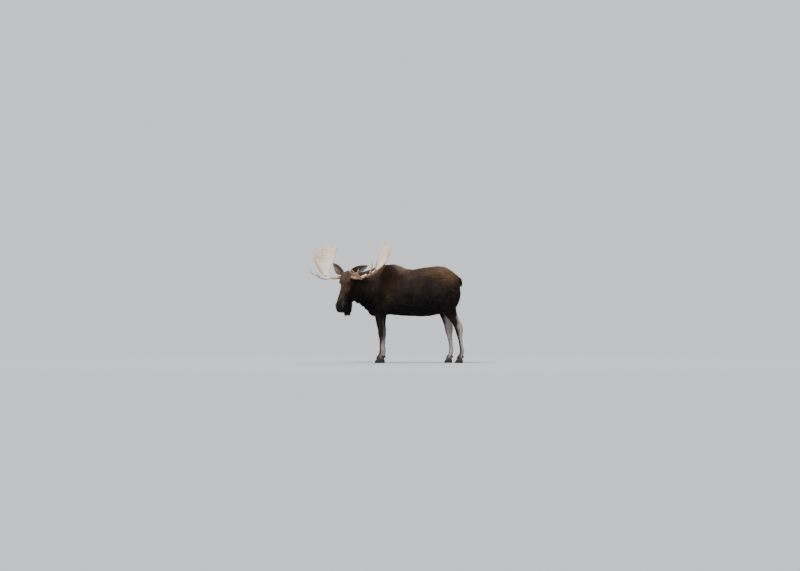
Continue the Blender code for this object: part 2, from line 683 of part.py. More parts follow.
def main_palm(hand, reach):
    """Broad upright palm: a bowed blade with long curved tines in front and short points along its rim."""
    inner = [antler_point(hand, *p) for p in ((0.415, -0.014, 0.024), (0.484, -0.150, 0.105),
                                              (0.504, -0.272, 0.215), (0.498, -0.368, 0.345),
                                              (0.486, -0.440, 0.545))]
    outer = [antler_point(hand, *p) for p in ((0.430, 0.028, 0.022), (0.585, -0.008, 0.095),
                                              (0.705, -0.112, 0.210), (0.780, -0.195, 0.345),
                                              (0.812, -0.250, 0.505))]
    hollow = (outer[3] - inner[3]).cross(outer[3] - outer[2]).normalized()
    if hollow.dot(FACING) < 0:
        hollow = -hollow
    palm = Palm(inner, outer, 0.045, hollow, 0.062, 0.020, [point[0] for point in RIM_POINTS])
    plate = blade(palm, 0.013, 0.0072, columns=24)
    tines = [
        Tine((0.520, 0.012, 0.070), (0.626, 0.105, 0.05 + 0.42 * reach), (0.655, 0.185, reach), 0.0150),
        Tine((0.605, -0.022, 0.125), (0.672, 0.020, 0.12 + 0.42 * reach), (0.672, 0.025, reach), 0.0140),
        Tine((0.690, -0.110, 0.235), (0.735, -0.118, 0.390), (0.722, -0.130, 0.560), 0.0130),
        Tine((0.780, -0.200, 0.360), (0.818, -0.196, 0.450), (0.815, -0.205, 0.560), 0.0130),
    ]
    return [plate] + tine_meshes(hand, tines) + [rim_point(palm, *point) for point in RIM_POINTS]


def brow_palm(hand, splay, lift):
    """Forward palm over the face: a narrow blade that forks into long points."""
    inner = [antler_point(hand, *p) for p in ((0.345, 0.020, -0.018), (0.352, 0.110, -0.036),
                                              (0.356 + 0.3 * splay, 0.220, -0.012 + 0.4 * lift),
                                              (0.362 + 0.6 * splay, 0.320, 0.036 + 0.8 * lift))]
    outer = [antler_point(hand, *p) for p in ((0.395, 0.020, 0.004), (0.430, 0.110, -0.012),
                                              (0.450 + 0.3 * splay, 0.220, 0.016 + 0.4 * lift),
                                              (0.440 + 0.6 * splay, 0.320, 0.062 + 0.8 * lift))]
    upward = (UPWARD - FACING * 0.2).normalized()
    palm = Palm(inner, outer, 0.014, upward, 0.0, 0.0, ())
    plate = blade(palm, 0.0125, 0.0085, rows=10, columns=8)
    tines = [
        Tine((0.412 + 0.5 * splay, 0.290, 0.036 + 0.7 * lift), (0.428 + 0.8 * splay, 0.420, 0.088 + lift),
             (0.432 + splay, 0.555, 0.195), 0.0140),
        Tine((0.375 + 0.5 * splay, 0.280, 0.016 + 0.7 * lift), (0.350 + 0.7 * splay, 0.385, 0.068 + lift),
             (0.324 + 0.8 * splay, 0.450, 0.145 + lift), 0.0120),
        Tine((0.425 + 0.5 * splay, 0.265, 0.024 + 0.6 * lift), (0.466 + 0.4 * splay, 0.305, 0.085 + lift),
             (0.488 + 0.5 * splay, 0.302, 0.150 + 0.5 * lift), 0.0130),
    ]
    return [plate] + tine_meshes(hand, tines)


# ---- Feet --------------------------------------------------------------------------------------


def claw_mesh(aside, heel_y, claw_hand):
    """One half of a cloven hoof: a low pointed wedge, flat underneath, cut level at the coronet."""
    half = 0.5 * CLAW_WIDTH
    middle = aside + claw_hand * (half + 0.5 * CLAW_SPLIT)
    toe_in = -claw_hand * 0.010
    sections = [
        # from the heel: distance forward, half width, height, sideways shift
        (0.000, 0.72 * half, 0.060, 0.000),
        (0.020, 0.98 * half, 0.100, 0.000),
        (0.080, 1.00 * half, 0.108, 0.000),
        (0.115, 0.80 * half, 0.080, 0.4 * toe_in),
        (0.141, 0.42 * half, 0.042, 0.8 * toe_in),
        (CLAW_LENGTH, 0.18 * half, 0.018, toe_in),
    ]
    outline = ((-0.90, 0.0), (-1.0, 0.30), (-0.72, 0.85), (0.0, 1.0), (0.72, 0.85), (1.0, 0.30), (0.90, 0.0))
    bm = bmesh.new()
    loops = []
    for forward, wide, tall, shift in sections:
        y = heel_y - forward
        loops.append([bm.verts.new((middle + shift + wide * a, y, tall * b)) for a, b in outline])
    for one, two in zip(loops, loops[1:]):
        for k in range(len(one)):
            n = (k + 1) % len(one)
            bm.faces.new((one[k], one[n], two[n], two[k]))
    bm.faces.new(loops[0])
    bm.faces.new(loops[-1])
    bmesh.ops.triangulate(bm, faces=bm.faces)
    return trimmed(mesh_from(bm, "claw"), (0.0, heel_y, CORONET), UPWARD)


def dewclaw_mesh(aside, y, claw_hand):
    """Small horn peg behind the pastern."""
    start = Vector((aside + claw_hand * 0.022, y + 0.030, 0.152))
    end = Vector((aside + claw_hand * 0.030, y + 0.068, 0.094))
    return rod([start, start.lerp(end, 0.55), end], [0.017, 0.0165, 0.008], resolution=1, sides=2)


# ---- Assembly ----------------------------------------------------------------------------------


def leg_space(leg, raise_by=0.0, margin=0.0):
    """The space that holds one leg: upright walls, under a top that slopes from front to back."""
    top = FORE_TOP if leg.kind == "fore" else HIND_TOP
    inner, outer = sorted((leg.hand * top.inner, leg.hand * 0.45))
    bm = bmesh.new()
    bmesh.ops.create_cube(bm, size=2.0)
    for vert in bm.verts:
        at_back = vert.co.y > 0
        if vert.co.z > 0:
            vert.co.z = (top.back_z if at_back else top.front_z) + raise_by + margin
        else:
            vert.co.z = -0.10
        vert.co.x = outer + margin if vert.co.x > 0 else inner - margin
        vert.co.y = top.back_y + margin if at_back else top.front_y - margin
    return mesh_from(bm, "leg space")


def part_leg(whole, leg):
    """The upper and the lower piece of one leg."""
    joint = FORE_JOINT if leg.kind == "fore" else HIND_JOINT
    limb = biggest_part(combined(whole.copy(), leg_space(leg, raise_by=0.02), "INTERSECT"))
    spare = 0.015
    upper = trimmed(limb, (0, 0, joint - spare), -UPWARD, 0.0)
    upper = thinned(upper, TRIANGLES["leg_upper"])
    upper = combined(upper, leg_space(leg), "INTERSECT")
    upper = trimmed(upper, (0, 0, joint), -UPWARD)
    lower = trimmed(limb, (0, 0, joint + spare), UPWARD, 0.0)
    lower = thinned(lower, TRIANGLES["leg_lower"])
    lower = trimmed(trimmed(lower, (0, 0, joint), UPWARD), (0, 0, CORONET), -UPWARD)
    return biggest_part(upper), biggest_part(lower)


def part_antler(hand, front_reach, splay, lift):
    """One antler, modelled whole and parted at its main forks into beam, brow palm and main palm."""
    grown_whole = beam_meshes(hand) + brow_palm(hand, splay, lift) + main_palm(hand, front_reach)
    whole = fused(grown_whole, THIN_VOXEL, 3)
    fork = antler_point(hand, 0.400, 0.050, 0.060)
    brow_cut = (fork, FACING, LEFTWARD, 0.165, 0.230, 0.70)
    spare = 0.006
    brow = combined(whole.copy(), slab(fork - FACING * spare, *brow_cut[1:]), "INTERSECT")
    brow = thinned(biggest_part(brow), TRIANGLES["brow"])
    brow = trimmed(brow, fork, -FACING)
    rest = biggest_part(combined(whole, slab(fork + FACING * spare, *brow_cut[1:]), "DIFFERENCE"))
    branch = antler_point(hand, 0.418, 0.0, 0.0)
    outward = LEFTWARD * hand + UPWARD * 0.30
    beam = thinned(trimmed(rest, branch + outward * spare, outward, 0.0), TRIANGLES["beam"])
    palm = thinned(trimmed(rest, branch - outward * spare, -outward, 0.0), TRIANGLES["palm"])
    beam = combined(trimmed(biggest_part(beam), branch, outward), slab(*brow_cut), "DIFFERENCE")
    palm = combined(trimmed(biggest_part(palm), branch, -outward), slab(*brow_cut), "DIFFERENCE")
    return biggest_part(beam), biggest_part(brow), biggest_part(palm)


def build():
    clear_scene()
    moose = new_collection("moose")

    dark_coat = coloured("dark_coat", (0.040, 0.026, 0.020), 0.85)
    face_coat = coloured("face_coat", (0.085, 0.058, 0.048), 0.80)
    pale_coat = coloured("pale_leg_coat", (0.300, 0.265, 0.250), 0.85)
    bone = coloured("antler_bone", (0.560, 0.440, 0.330), 0.55)
    horn = coloured("hoof_horn", (0.045, 0.038, 0.034), 0.50)
    wet = coloured("eye_surface", (0.020, 0.012, 0.008), 0.08)

    pieces = {}
    limbs = [foreleg_mesh(leg) if leg.kind == "fore" else hindleg_mesh(leg) for leg in LEGS]
    whole = fused(limbs + trunk_meshes() + [neck_mesh()] + head_meshes(), BODY_VOXEL, 10)
    spare = 0.02

    # trunk: the body without its neck and legs
    trunk = trimmed(whole, NECK_CUT + NECK_WAY * spare, NECK_WAY, 0.0)
    for leg in LEGS:
        trunk = combined(trunk, leg_space(leg, raise_by=-spare), "DIFFERENCE")
    trunk = thinned(biggest_part(trunk), TRIANGLES["trunk"])
    for leg in LEGS:
        trunk = combined(trunk, leg_space(leg, margin=GAP), "DIFFERENCE")
    trunk = biggest_part(trimmed(trunk, NECK_CUT, NECK_WAY))
    pieces["trunk"] = (trunk, dark_coat)

    # neck, between its two flat cuts
    neck = biggest_part(trimmed(whole, NECK_CUT - NECK_WAY * spare, -NECK_WAY, 0.0))
    neck = biggest_part(trimmed(neck, HEAD_CUT + HEAD_WAY * spare, HEAD_WAY, 0.0))
    neck = thinned(neck, TRIANGLES["neck"])
    neck = trimmed(trimmed(neck, NECK_CUT, -NECK_WAY), HEAD_CUT, HEAD_WAY)
    pieces["neck"] = (biggest_part(neck), dark_coat)

    # legs, each parted above its knee or hock
    for leg in LEGS:
        upper, lower = part_leg(whole, leg)
        pieces[leg.name + "_upper"] = (upper, dark_coat)
        pieces[leg.name + "_lower"] = (lower, pale_coat)

    # head, with a socket for each eye
    head = fused(head_meshes() + [neck_mesh()], HEAD_VOXEL, 8)
    head = biggest_part(trimmed(head, HEAD_CUT - HEAD_WAY * 0.01, -HEAD_WAY, 0.0))
    head = trimmed(thinned(head, TRIANGLES["head"]), HEAD_CUT, -HEAD_WAY)
    for side_name, hand in (("left", 1), ("right", -1)):
        place = head_point(hand * EYE_PLACE[0], EYE_PLACE[1], EYE_PLACE[2])
        bm = bmesh.new()
        bmesh.ops.create_icosphere(bm, subdivisions=2, radius=EYE_RADIUS)
        bmesh.ops.translate(bm, vec=place, verts=bm.verts)
        ball = mesh_from(bm, "eye")
        pieces["eye_" + side_name] = (ball, wet)
        head = combined(head, grown(ball, GAP), "DIFFERENCE")
    head = biggest_part(head)
    pieces["head"] = (head, face_coat)

    # what sits on the body: tail, bell, ears
    tail = thinned(fused([tail_mesh()], HEAD_VOXEL, 2), TRIANGLES["tail"])
    pieces["tail"] = (seated(tail, trunk), dark_coat)
    bell = thinned(fused(bell_meshes(), HEAD_VOXEL, 4), TRIANGLES["bell"])
    pieces["bell"] = (seated(bell, head, neck), dark_coat)
    for name, hand, outward, rise in (("ear_left", 1, 0.398, 0.206), ("ear_right", -1, 0.352, 0.245)):
        ear = thinned(fused(ear_meshes(hand, outward, rise), THIN_VOXEL, 3), TRIANGLES["ear"])
        pieces[name] = (seated(ear, head), face_coat)

    # antlers
    for side_name, hand, reach, splay, lift in ANTLERS:
        beam, brow, palm = part_antler(hand, reach, splay, lift)
        pieces["antler_%s_beam" % side_name] = (seated(beam, head), bone)
        pieces["antler_%s_brow_palm" % side_name] = (brow, bone)
        pieces["antler_%s_main_palm" % side_name] = (palm, bone)

    # hooves and dewclaws
    for leg in LEGS:
        aside = leg.hand * (FORE_STANCE if leg.kind == "fore" else HIND_STANCE)
        foot = leg.name.replace("leg", "")
        lower = pieces[leg.name + "_lower"][0]
        for claw_name, claw_hand in (("outer", leg.hand), ("inner", -leg.hand)):
            claw = claw_mesh(aside, leg.foot_y + 0.052, claw_hand)
            pieces["%s_claw_%s" % (foot, claw_name)] = (claw, horn)
            dew = dewclaw_mesh(aside, leg.foot_y, claw_hand)
            pieces["%s_dewclaw_%s" % (foot, claw_name)] = (seated(dew, lower), horn)

    finished = {name: finish_mesh(mesh) for name, (mesh, look) in pieces.items()}
    to_origin = Matrix.Translation(-bottom_centre(finished.values()))
    for name, (mesh, look) in pieces.items():
        finished[name].transform(to_origin)
        made = make_object(name, finished[name], moose)
        made.data.materials.clear()
        made.data.materials.append(look)
        for polygon in made.data.polygons:
            polygon.material_index = 0


build()
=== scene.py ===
"""The looks of a standing bull moose: one skin with lids, nostrils and folds, a coat of mesh tufts over it,
finer antlers, hooves and eyes, on a plain studio floor."""

import math

import bmesh
import bpy
import numpy as np
from mathutils import Matrix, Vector
from mathutils.bvhtree import BVHTree


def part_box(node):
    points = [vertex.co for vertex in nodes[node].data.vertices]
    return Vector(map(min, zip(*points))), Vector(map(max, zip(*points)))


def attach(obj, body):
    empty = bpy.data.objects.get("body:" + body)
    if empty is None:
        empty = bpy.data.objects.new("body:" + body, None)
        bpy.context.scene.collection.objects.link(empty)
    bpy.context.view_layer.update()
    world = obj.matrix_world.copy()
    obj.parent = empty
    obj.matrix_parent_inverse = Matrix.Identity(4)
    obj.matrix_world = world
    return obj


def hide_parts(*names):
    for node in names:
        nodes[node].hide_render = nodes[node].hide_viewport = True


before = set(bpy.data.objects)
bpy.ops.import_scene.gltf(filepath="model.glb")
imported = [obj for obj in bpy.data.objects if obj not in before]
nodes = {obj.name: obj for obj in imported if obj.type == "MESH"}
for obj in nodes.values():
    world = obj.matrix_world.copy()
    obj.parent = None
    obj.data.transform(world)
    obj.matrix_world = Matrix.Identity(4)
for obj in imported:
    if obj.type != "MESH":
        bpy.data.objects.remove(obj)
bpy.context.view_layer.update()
rng = np.random.default_rng(41)

SKIN_VOXEL = 0.0055  # grain of the skin before it is thinned
ANTLER_VOXEL = 0.0045
ANTLER_WEB = 0.013  # bone webs the corners between points and palm by about this much
HOOF_VOXEL = 0.0032
SOLE = 0.003  # what lies lower than this is the flat sole of a hoof
CRUMB = 400  # points of the largest island that counts as broken off
SKIN_TRIANGLES = 180_000
SKIN_GROW, SEAT_GROW = 0.0009, 0.0018  # parts seated on others are let in a little deeper
EYE_GROW, BONE_GROW, HOOF_GROW = 0.0012, 0.0006, 0.0002
TUFT_TOTAL = 215_000
PIECE_TUFTS = 32_500  # 6 triangles each keeps a coat piece under 200,000
TUFT_ACROSS = np.array((-1.0, 0.0, 1.0, -1.0, 0.0, 1.0, 0.0))  # a tuft's points: root, bend, tip
TUFT_ALONG = np.array((0.0, 0.0, 0.0, 0.5, 0.5, 0.5, 1.0))
PATCH = 0.003  # size of one tuft's patch on the bake map
COAT_INSET = 0.82  # share of the coat's depth by which the skin lies inside the solids

UP = np.array((0.0, 0.0, 1.0))
BACK = np.array((0.0, 1.0, 0.0))


# ---- Small vector tools ----


def norm(v):
    return np.linalg.norm(v, axis=-1)


def unit(v):
    v = np.asarray(v, float)
    return v / np.maximum(norm(v)[..., None], 1e-9)


def clip(values):
    return np.clip(values, 0, 1)


def step(low, high, x):
    """Smooth rise from 0 at low to 1 at high."""
    t = clip((x - low) / (high - low))
    return t * t * (3 - 2 * t)


def bell_curve(points, centre, radii):
    """1 at the centre, falling off smoothly over the three radii."""
    return np.exp(-(((points - np.asarray(centre)) / np.asarray(radii)) ** 2).sum(axis=1))


def waves(points, size, seed, count=14):
    """Smooth solid noise of about unit strength, made of waves about this size long."""
    draw = np.random.default_rng(seed)
    ways = unit(draw.normal(size=(count, 3))) * (2 * math.pi / size) * draw.uniform(0.6, 1.5, (count, 1))
    phase = draw.uniform(0, 2 * math.pi, count)
    return np.sin(points @ ways.T + phase).sum(axis=1) * math.sqrt(2 / count)


def centre_of(name):
    low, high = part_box(name)
    return 0.5 * (np.array(low) + np.array(high))


# ---- The head's own frame, from the two eyes ----

HEAD_PITCH = math.radians(70)
EYE_ALONG, EYE_ABOVE = 0.212, 0.036
eye_centres = {1: centre_of("eye_left"), -1: centre_of("eye_right")}
eye_radius = 0.5 * (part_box("eye_left")[1][2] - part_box("eye_left")[0][2])
LEFTWARD = unit(eye_centres[1] - eye_centres[-1])
FACING = np.cross(LEFTWARD, UP)
NOSEWARD = FACING * math.cos(HEAD_PITCH) - UP * math.sin(HEAD_PITCH)
CROWNWARD = FACING * math.sin(HEAD_PITCH) + UP * math.cos(HEAD_PITCH)
POLL = 0.5 * (eye_centres[1] + eye_centres[-1]) - NOSEWARD * EYE_ALONG - CROWNWARD * EYE_ABOVE
HEAD_AXES = np.stack((LEFTWARD, NOSEWARD, CROWNWARD))
BROW_CENTRE = POLL + NOSEWARD * 0.09 + CROWNWARD * 0.03
middle_x = centre_of("tail")[0]


def to_body(points):
    """Places as x to the left of the body's middle plane, y and z."""
    return points[:, 0] - middle_x, points[:, 1], points[:, 2]


def to_head(points):
    """Places in the head's frame: aside to its left, along from poll to nose, above towards the forehead."""
    return (points - POLL) @ HEAD_AXES.T


# ---- Meshes as arrays ----


def closed(bm, name):
    """The finished bmesh as a new mesh."""
    mesh = bpy.data.meshes.new(name)
    bm.to_mesh(mesh)
    bm.free()
    return mesh


def grown_node(name, grow):
    """A CAD node as a welded mesh, its surface moved out a little."""
    bm = bmesh.new()
    bm.from_mesh(nodes[name].data)
    bmesh.ops.remove_doubles(bm, verts=bm.verts, dist=0.00002)
    bmesh.ops.recalc_face_normals(bm, faces=bm.faces)
    bm.normal_update()
    for vert in bm.verts:
        vert.co += vert.normal * grow
    return closed(bm, name + "_grown")


def remeshed(meshes, voxel):
    """Crossing closed meshes fused into one surface of even quads."""
    bm = bmesh.new()
    for mesh in meshes:
        bm.from_mesh(mesh)
    holder = linked("fusing", closed(bm, "joined"))
    remesh = holder.modifiers.new("fuse", "REMESH")
    remesh.mode = "VOXEL"
    remesh.voxel_size = voxel
    fused = evaluated_mesh(holder)
    bpy.data.objects.remove(holder)
    return fused


def without_crumbs(mesh):
    """Takes off the small islands that broke off where the surface was too thin."""
    edges = get_edges(mesh)
    island = np.arange(len(mesh.vertices))
    while True:
        low = island.copy()
        np.minimum.at(low, edges[:, 0], island[edges[:, 1]])
        np.minimum.at(low, edges[:, 1], island[edges[:, 0]])
        low = low[low]
        if (low == island).all():
            break
        island = low
    small = np.bincount(island, minlength=len(island))[island] < CRUMB
    bm = bmesh.new()
    bm.from_mesh(mesh)
    bmesh.ops.delete(bm, geom=[vert for vert, gone in zip(bm.verts, small) if gone], context="VERTS")
    bm.to_mesh(mesh)
    bm.free()
    return mesh


def evaluated_mesh(obj):
    """The object's mesh with its modifiers applied."""
    return bpy.data.meshes.new_from_object(obj.evaluated_get(bpy.context.evaluated_depsgraph_get()))


def linked(name, data):
    """A new object in the scene."""
    made = bpy.data.objects.new(name, data)
    bpy.context.scene.collection.objects.link(made)
    return made


def fetched(items, field, width, kind=float):
    flat = np.empty(len(items) * width, dtype=kind)
    items.foreach_get(field, flat)
    return flat.reshape(-1, width)


def fill(items, field, values, kind=np.float32):
    items.foreach_set(field, np.ascontiguousarray(values, dtype=kind).ravel())


def get_points(mesh):
    return fetched(mesh.vertices, "co", 3)


def set_points(mesh, points):
    fill(mesh.vertices, "co", points)
    mesh.update()


def get_edges(mesh):
    return fetched(mesh.edges, "vertices", 2, np.int32)


def get_triangles(mesh):
    mesh.calc_loop_triangles()
    return fetched(mesh.loop_triangles, "vertices", 3, np.int32)


def get_normals(points, triangles):
    """Vertex normals, each triangle counted by its area."""
    a, b, c = (points[triangles[:, k]] for k in range(3))
    flat = np.cross(b - a, c - a)
    total = np.zeros_like(points)
    for k in range(3):
        for axis in range(3):
            total[:, axis] += np.bincount(triangles[:, k], flat[:, axis], len(points))
    return unit(total)


def averaged(values, edges, rounds, amount=0.5):
    """Values at the vertices, moved towards the mean of their neighbours."""
    values = np.array(values, dtype=float)
    flat = values.reshape(len(values), -1)
    count = np.bincount(edges.ravel(), minlength=len(values))[:, None]
    amount = np.broadcast_to(np.asarray(amount, dtype=float).reshape(-1, 1), (len(values), 1))
    for _ in range(rounds):
        total = np.empty_like(flat)
        for k in range(flat.shape[1]):
            total[:, k] = np.bincount(edges[:, 0], flat[edges[:, 1], k], len(flat))
            total[:, k] += np.bincount(edges[:, 1], flat[edges[:, 0], k], len(flat))
        flat += amount * (total / count - flat)
    return flat.reshape(values.shape)


def add_attribute(mesh, name, values, kind="FLOAT"):
    made = mesh.attributes.new(name, kind, "POINT")
    if kind == "FLOAT":
        fill(made.data, "value", values)
    else:
        fill(made.data, "color", np.column_stack((values, np.ones(len(values)))))


def new_object(name, mesh, material):
    mesh.materials.clear()
    mesh.materials.append(material)
    return linked(name, mesh)


def turn_to(obj, right, up, back, centre=(0, 0, 0)):
    """Sets an object's three axes and its place."""
    matrix = np.eye(4)
    matrix[:3] = np.column_stack((right, up, back, centre))
    obj.matrix_world = Matrix(matrix.tolist())


def shade_smooth(mesh):
    fill(mesh.polygons, "use_smooth", np.ones(len(mesh.polygons)), bool)
    mesh.update()


# ---- The skin ----

LEGS = ("foreleg_left", "foreleg_right", "hindleg_left", "hindleg_right")
EARS = ("ear_left", "ear_right")
REGIONS = ("trunk", "neck", "head", "bell", "tail") + EARS + LEGS
NUMBER_OF = {region: number for number, region in enumerate(REGIONS)}
region_of = {region + end: region for region in REGIONS for end in ("", "_lower", "_upper")}
flesh_nodes = [name for name in region_of if name in nodes]


def refine_near(mesh, centres, reach, rounds):
    """Split the faces near some places, so that they can hold small features."""
    bm = bmesh.new()
    bm.from_mesh(mesh)
    for _ in range(rounds):
        points = np.array([v.co for v in bm.verts])
        inside = np.zeros(len(points), dtype=bool)
        for centre in centres:
            inside |= norm(points - centre) < reach
        near = [edge for edge in bm.edges if all(inside[vert.index] for vert in edge.verts)]
        bmesh.ops.subdivide_edges(bm, edges=near, cuts=1, use_grid_fill=True)
        bm.verts.index_update()
        reach *= 0.82
    bmesh.ops.triangulate(bm, faces=[f for f in bm.faces if len(f.verts) != 4])
    bm.to_mesh(mesh)
    bm.free()


def nearest_node(points, names):
    """For each point, the number of the CAD node that lies nearest."""
    verts, faces, owner = [], [], []
    for number, name in enumerate(names):
        start = len(verts)
        mesh = nodes[name].data
        verts.extend(v.co.copy() for v in mesh.vertices)
        for face in mesh.polygons:
            faces.append([start + k for k in face.vertices])
            owner.append(number)
    find = BVHTree.FromPolygons(verts, faces).find_nearest
    return np.array([owner[find(p)[2]] for p in points.tolist()])


seated = EARS + ("bell", "tail")
pieces = [grown_node(n, SEAT_GROW if n in seated else SKIN_GROW) for n in flesh_nodes]
pieces += [grown_node(n, EYE_GROW) for n in ("eye_left", "eye_right")]
skin_mesh = remeshed(pieces, SKIN_VOXEL)

NOSTRIL = (0.097, 0.668, 0.014)
nostril_centres = [POLL + HEAD_AXES.T @ np.array((hand * NOSTRIL[0], *NOSTRIL[1:])) for hand in (1, -1)]
refine_near(skin_mesh, list(eye_centres.values()), 0.055, 2)
refine_near(skin_mesh, [POLL + NOSEWARD * 0.655 - CROWNWARD * 0.03], 0.15, 1)
refine_near(skin_mesh, nostril_centres, 0.06, 1)

points = get_points(skin_mesh)
edges = get_edges(skin_mesh)
triangles = get_triangles(skin_mesh)
owner = np.array([NUMBER_OF[region_of[name]] for name in flesh_nodes])[nearest_node(points, flesh_nodes)]
shares = averaged(owner[:, None] == np.arange(len(REGIONS)), edges, 24)
broad_parts = shares[:, :3].sum(axis=1)  # trunk, neck and head meet over a wider band
shares[:, :3] = averaged(shares[:, :3], edges, 60, 0.6 * clip(broad_parts) ** 3)
mask = dict(zip(REGIONS, shares.T))  # how far each point belongs to each region, 0 to 1
trunk, neck, head, bell, tail = shares.T[:5]
in_head = clip(head)
ears = mask["ear_left"] + mask["ear_right"]
legs = sum(mask[r] for r in LEGS)

# The facets of the solids are smoothed away: most on the barrel, least where the shapes are fine.
points = averaged(points, edges, 7, 0.5 * (1 - 0.8 * clip(ears)))
broad = clip(trunk + neck - 0.15)
high_leg = legs * step(0.66, 0.9, points[:, 2])
broad = clip(broad + 0.5 * high_leg)
points = averaged(points, edges, 120, 0.6 * broad)
points = averaged(points, edges, 8, 0.5 * clip(legs + head + bell + tail))

# ---- Coat depth, and the forms under the coat ----

normals = get_normals(points, triangles)
x, y, z = to_body(points)
head_place = to_head(points)
aside, along, above = np.abs(head_place[:, 0]), head_place[:, 1], head_place[:, 2]

depth = 0.0075 * trunk + 0.009 * neck + 0.0036 * head + 0.015 * bell
depth += 0.01 * tail + 0.0034 * ears
for region in LEGS:
    depth += mask[region] * (0.0036 + 0.004 * step(0.55, 0.95, z))
hump = step(1.6, 1.76, z) * step(-0.25, 0.05, y) * step(0.62, 0.35, y)
throat = neck * step(1.3, 1.08, z) + trunk * step(-0.12, -0.26, y) * step(1.25, 1.05, z)
depth += 0.007 * hump * trunk + 0.004 * throat
depth -= 0.0016 * in_head * step(0.5, 0.62, along)


def formed(places, forms, hand=1):
    """Swells and hollows, each a height, a centre and three radii; hand -1 gives the other side's."""
    total = np.zeros(len(places))
    for height, centre, radii in forms:
        total += height * bell_curve(places, (hand * centre[0], *centre[1:]), radii)
    return total


SIDE_FORMS = (
    (0.012, (0.26, 0.06, 1.5), (0.3, 0.075, 0.24)),  # shoulder blade
    (-0.017, (0.28, 0.205, 1.4), (0.3, 0.05, 0.26)),  # hollow behind it
    (0.01, (0.26, -0.06, 1.18), (0.3, 0.09, 0.14)),  # upper arm
    (-0.018, (0.26, 0.12, 1.03), (0.3, 0.05, 0.1)),  # elbow's fold
    (-0.012, (0.26, -0.165, 1.32), (0.3, 0.04, 0.17)),  # before the shoulder
    (0.01, (0.24, 0.985, 1.66), (0.3, 0.06, 0.055)),  # hip bone
    (-0.02, (0.28, 0.89, 1.5), (0.3, 0.07, 0.13)),  # hunger hollow
    (-0.02, (0.28, 0.885, 1.1), (0.3, 0.05, 0.16)),  # flank's fold
    (0.01, (0.26, 1.05, 1.22), (0.3, 0.1, 0.16)),  # thigh
    (-0.01, (0.22, 1.215, 1.18), (0.3, 0.035, 0.18)),  # groove behind the thigh
)
swell = np.zeros(len(points))
body_place = points - (middle_x, 0, 0)
for hand in (1, -1):
    swell += step(0, 0.06, hand * x) * trunk * formed(body_place, SIDE_FORMS, hand)
ribs = np.sin((y - 0.25 * (z - 1.2)) * 2 * math.pi / 0.082)
swell += (0.0016 * ribs * trunk * step(0.3, 0.42, y) * step(0.92, 0.74, y) * step(1.05, 1.2, z)
          * step(1.62, 1.45, z))
# neck: folds on the hollow side of its bend, and a groove above the windpipe
fold_line = (points - POLL) @ unit((0.32, -0.92, 0.22))
inner_side = step(0, 0.1, x) * neck
swell += (0.005 * np.sin(fold_line * 2 * math.pi / 0.105) * inner_side * step(0.72, 0.4, -fold_line)
          * step(1.62, 1.48, z))
swell -= 0.008 * neck * bell_curve(points, (middle_x + 0.22, -0.36, 1.28), (0.16, 0.2, 0.045))
# the whole coat lies a little uneven
uneven = clip(trunk + neck + 0.5 * high_leg)
swell += uneven * (0.0026 * waves(points, 0.16, 3) + 0.0007 * waves(points, 0.06, 4))
swell -= 0.03 * head * neck * step(0.1, -0.02, above)
swell += bell * (0.004 * waves(points * (1, 1, 0.35), 0.04, 5))

FACE_FORMS = (
    (0.006, (0.11, 0.185, -0.085), (0.05, 0.07, 0.055)),  # cheek
    (0.0045, (0.1, 0.262, -0.006), (0.05, 0.075, 0.016)),  # ridge under the eye
    (-0.008, (0.1, 0.29, 0.03), (0.05, 0.045, 0.022)),  # hollow before the eye
    (-0.007, (0.1, 0.4, -0.035), (0.05, 0.11, 0.022)),  # hollow along the jaw
    (-0.006, (0.095, 0.115, -0.01), (0.05, 0.035, 0.03)),  # temple
    (0.005, (0.095, 0.185, 0.066), (0.04, 0.04, 0.018)),  # brow
    (-0.006, (0, 0.33, 0.075), (0.05, 0.1, 0.05)),  # bridge of the nose
    (0.006, (0.11, 0.6, -0.05), (0.05, 0.085, 0.035)),  # upper lip
    (-0.005, (0, 0.575, 0.08), (0.07, 0.055, 0.04)),  # dip behind the nostrils
    (0.0065, (0.074, 0.668, 0.04), (0.035, 0.045, 0.04)),  # bulge over each nostril
    (-0.005, (0, 0.705, 0.04), (0.022, 0.06, 0.06)),  # dip between them
    (-0.006, (0.1, 0.735, -0.02), (0.03, 0.03, 0.06)),  # rounded corner of the muzzle
)
swell += in_head * formed(np.stack((aside, along, above), axis=1), FACE_FORMS)

# mouth: a long line under the overhanging upper lip, up to its corner on the cheek
lip_line = above + 0.104 - 0.012 * step(0.61, 0.55, along)
mouth = in_head * step(0.54, 0.575, along)
mouth_dark = mouth * np.exp(-((lip_line + 0.001) / 0.0045) ** 2)
swell -= 0.0085 * mouth * np.exp(-(lip_line / 0.0055) ** 2)
swell += 0.005 * mouth * np.exp(-((lip_line - 0.02) / 0.014) ** 2)
swell += 0.003 * mouth * np.exp(-((lip_line + 0.016) / 0.01) ** 2)

points = points + normals * (swell - COAT_INSET * depth)[:, None]


def around(centre, hand, tilt):
    """Places about a centre on the head, along two tilted axes of the face, and outward."""
    rel = points - centre
    ahead, high = rel @ NOSEWARD, rel @ CROWNWARD
    p = ahead * math.cos(tilt) - high * math.sin(tilt)
    q = ahead * math.sin(tilt) + high * math.cos(tilt)
    return rel, p, q, rel @ (LEFTWARD * hand)


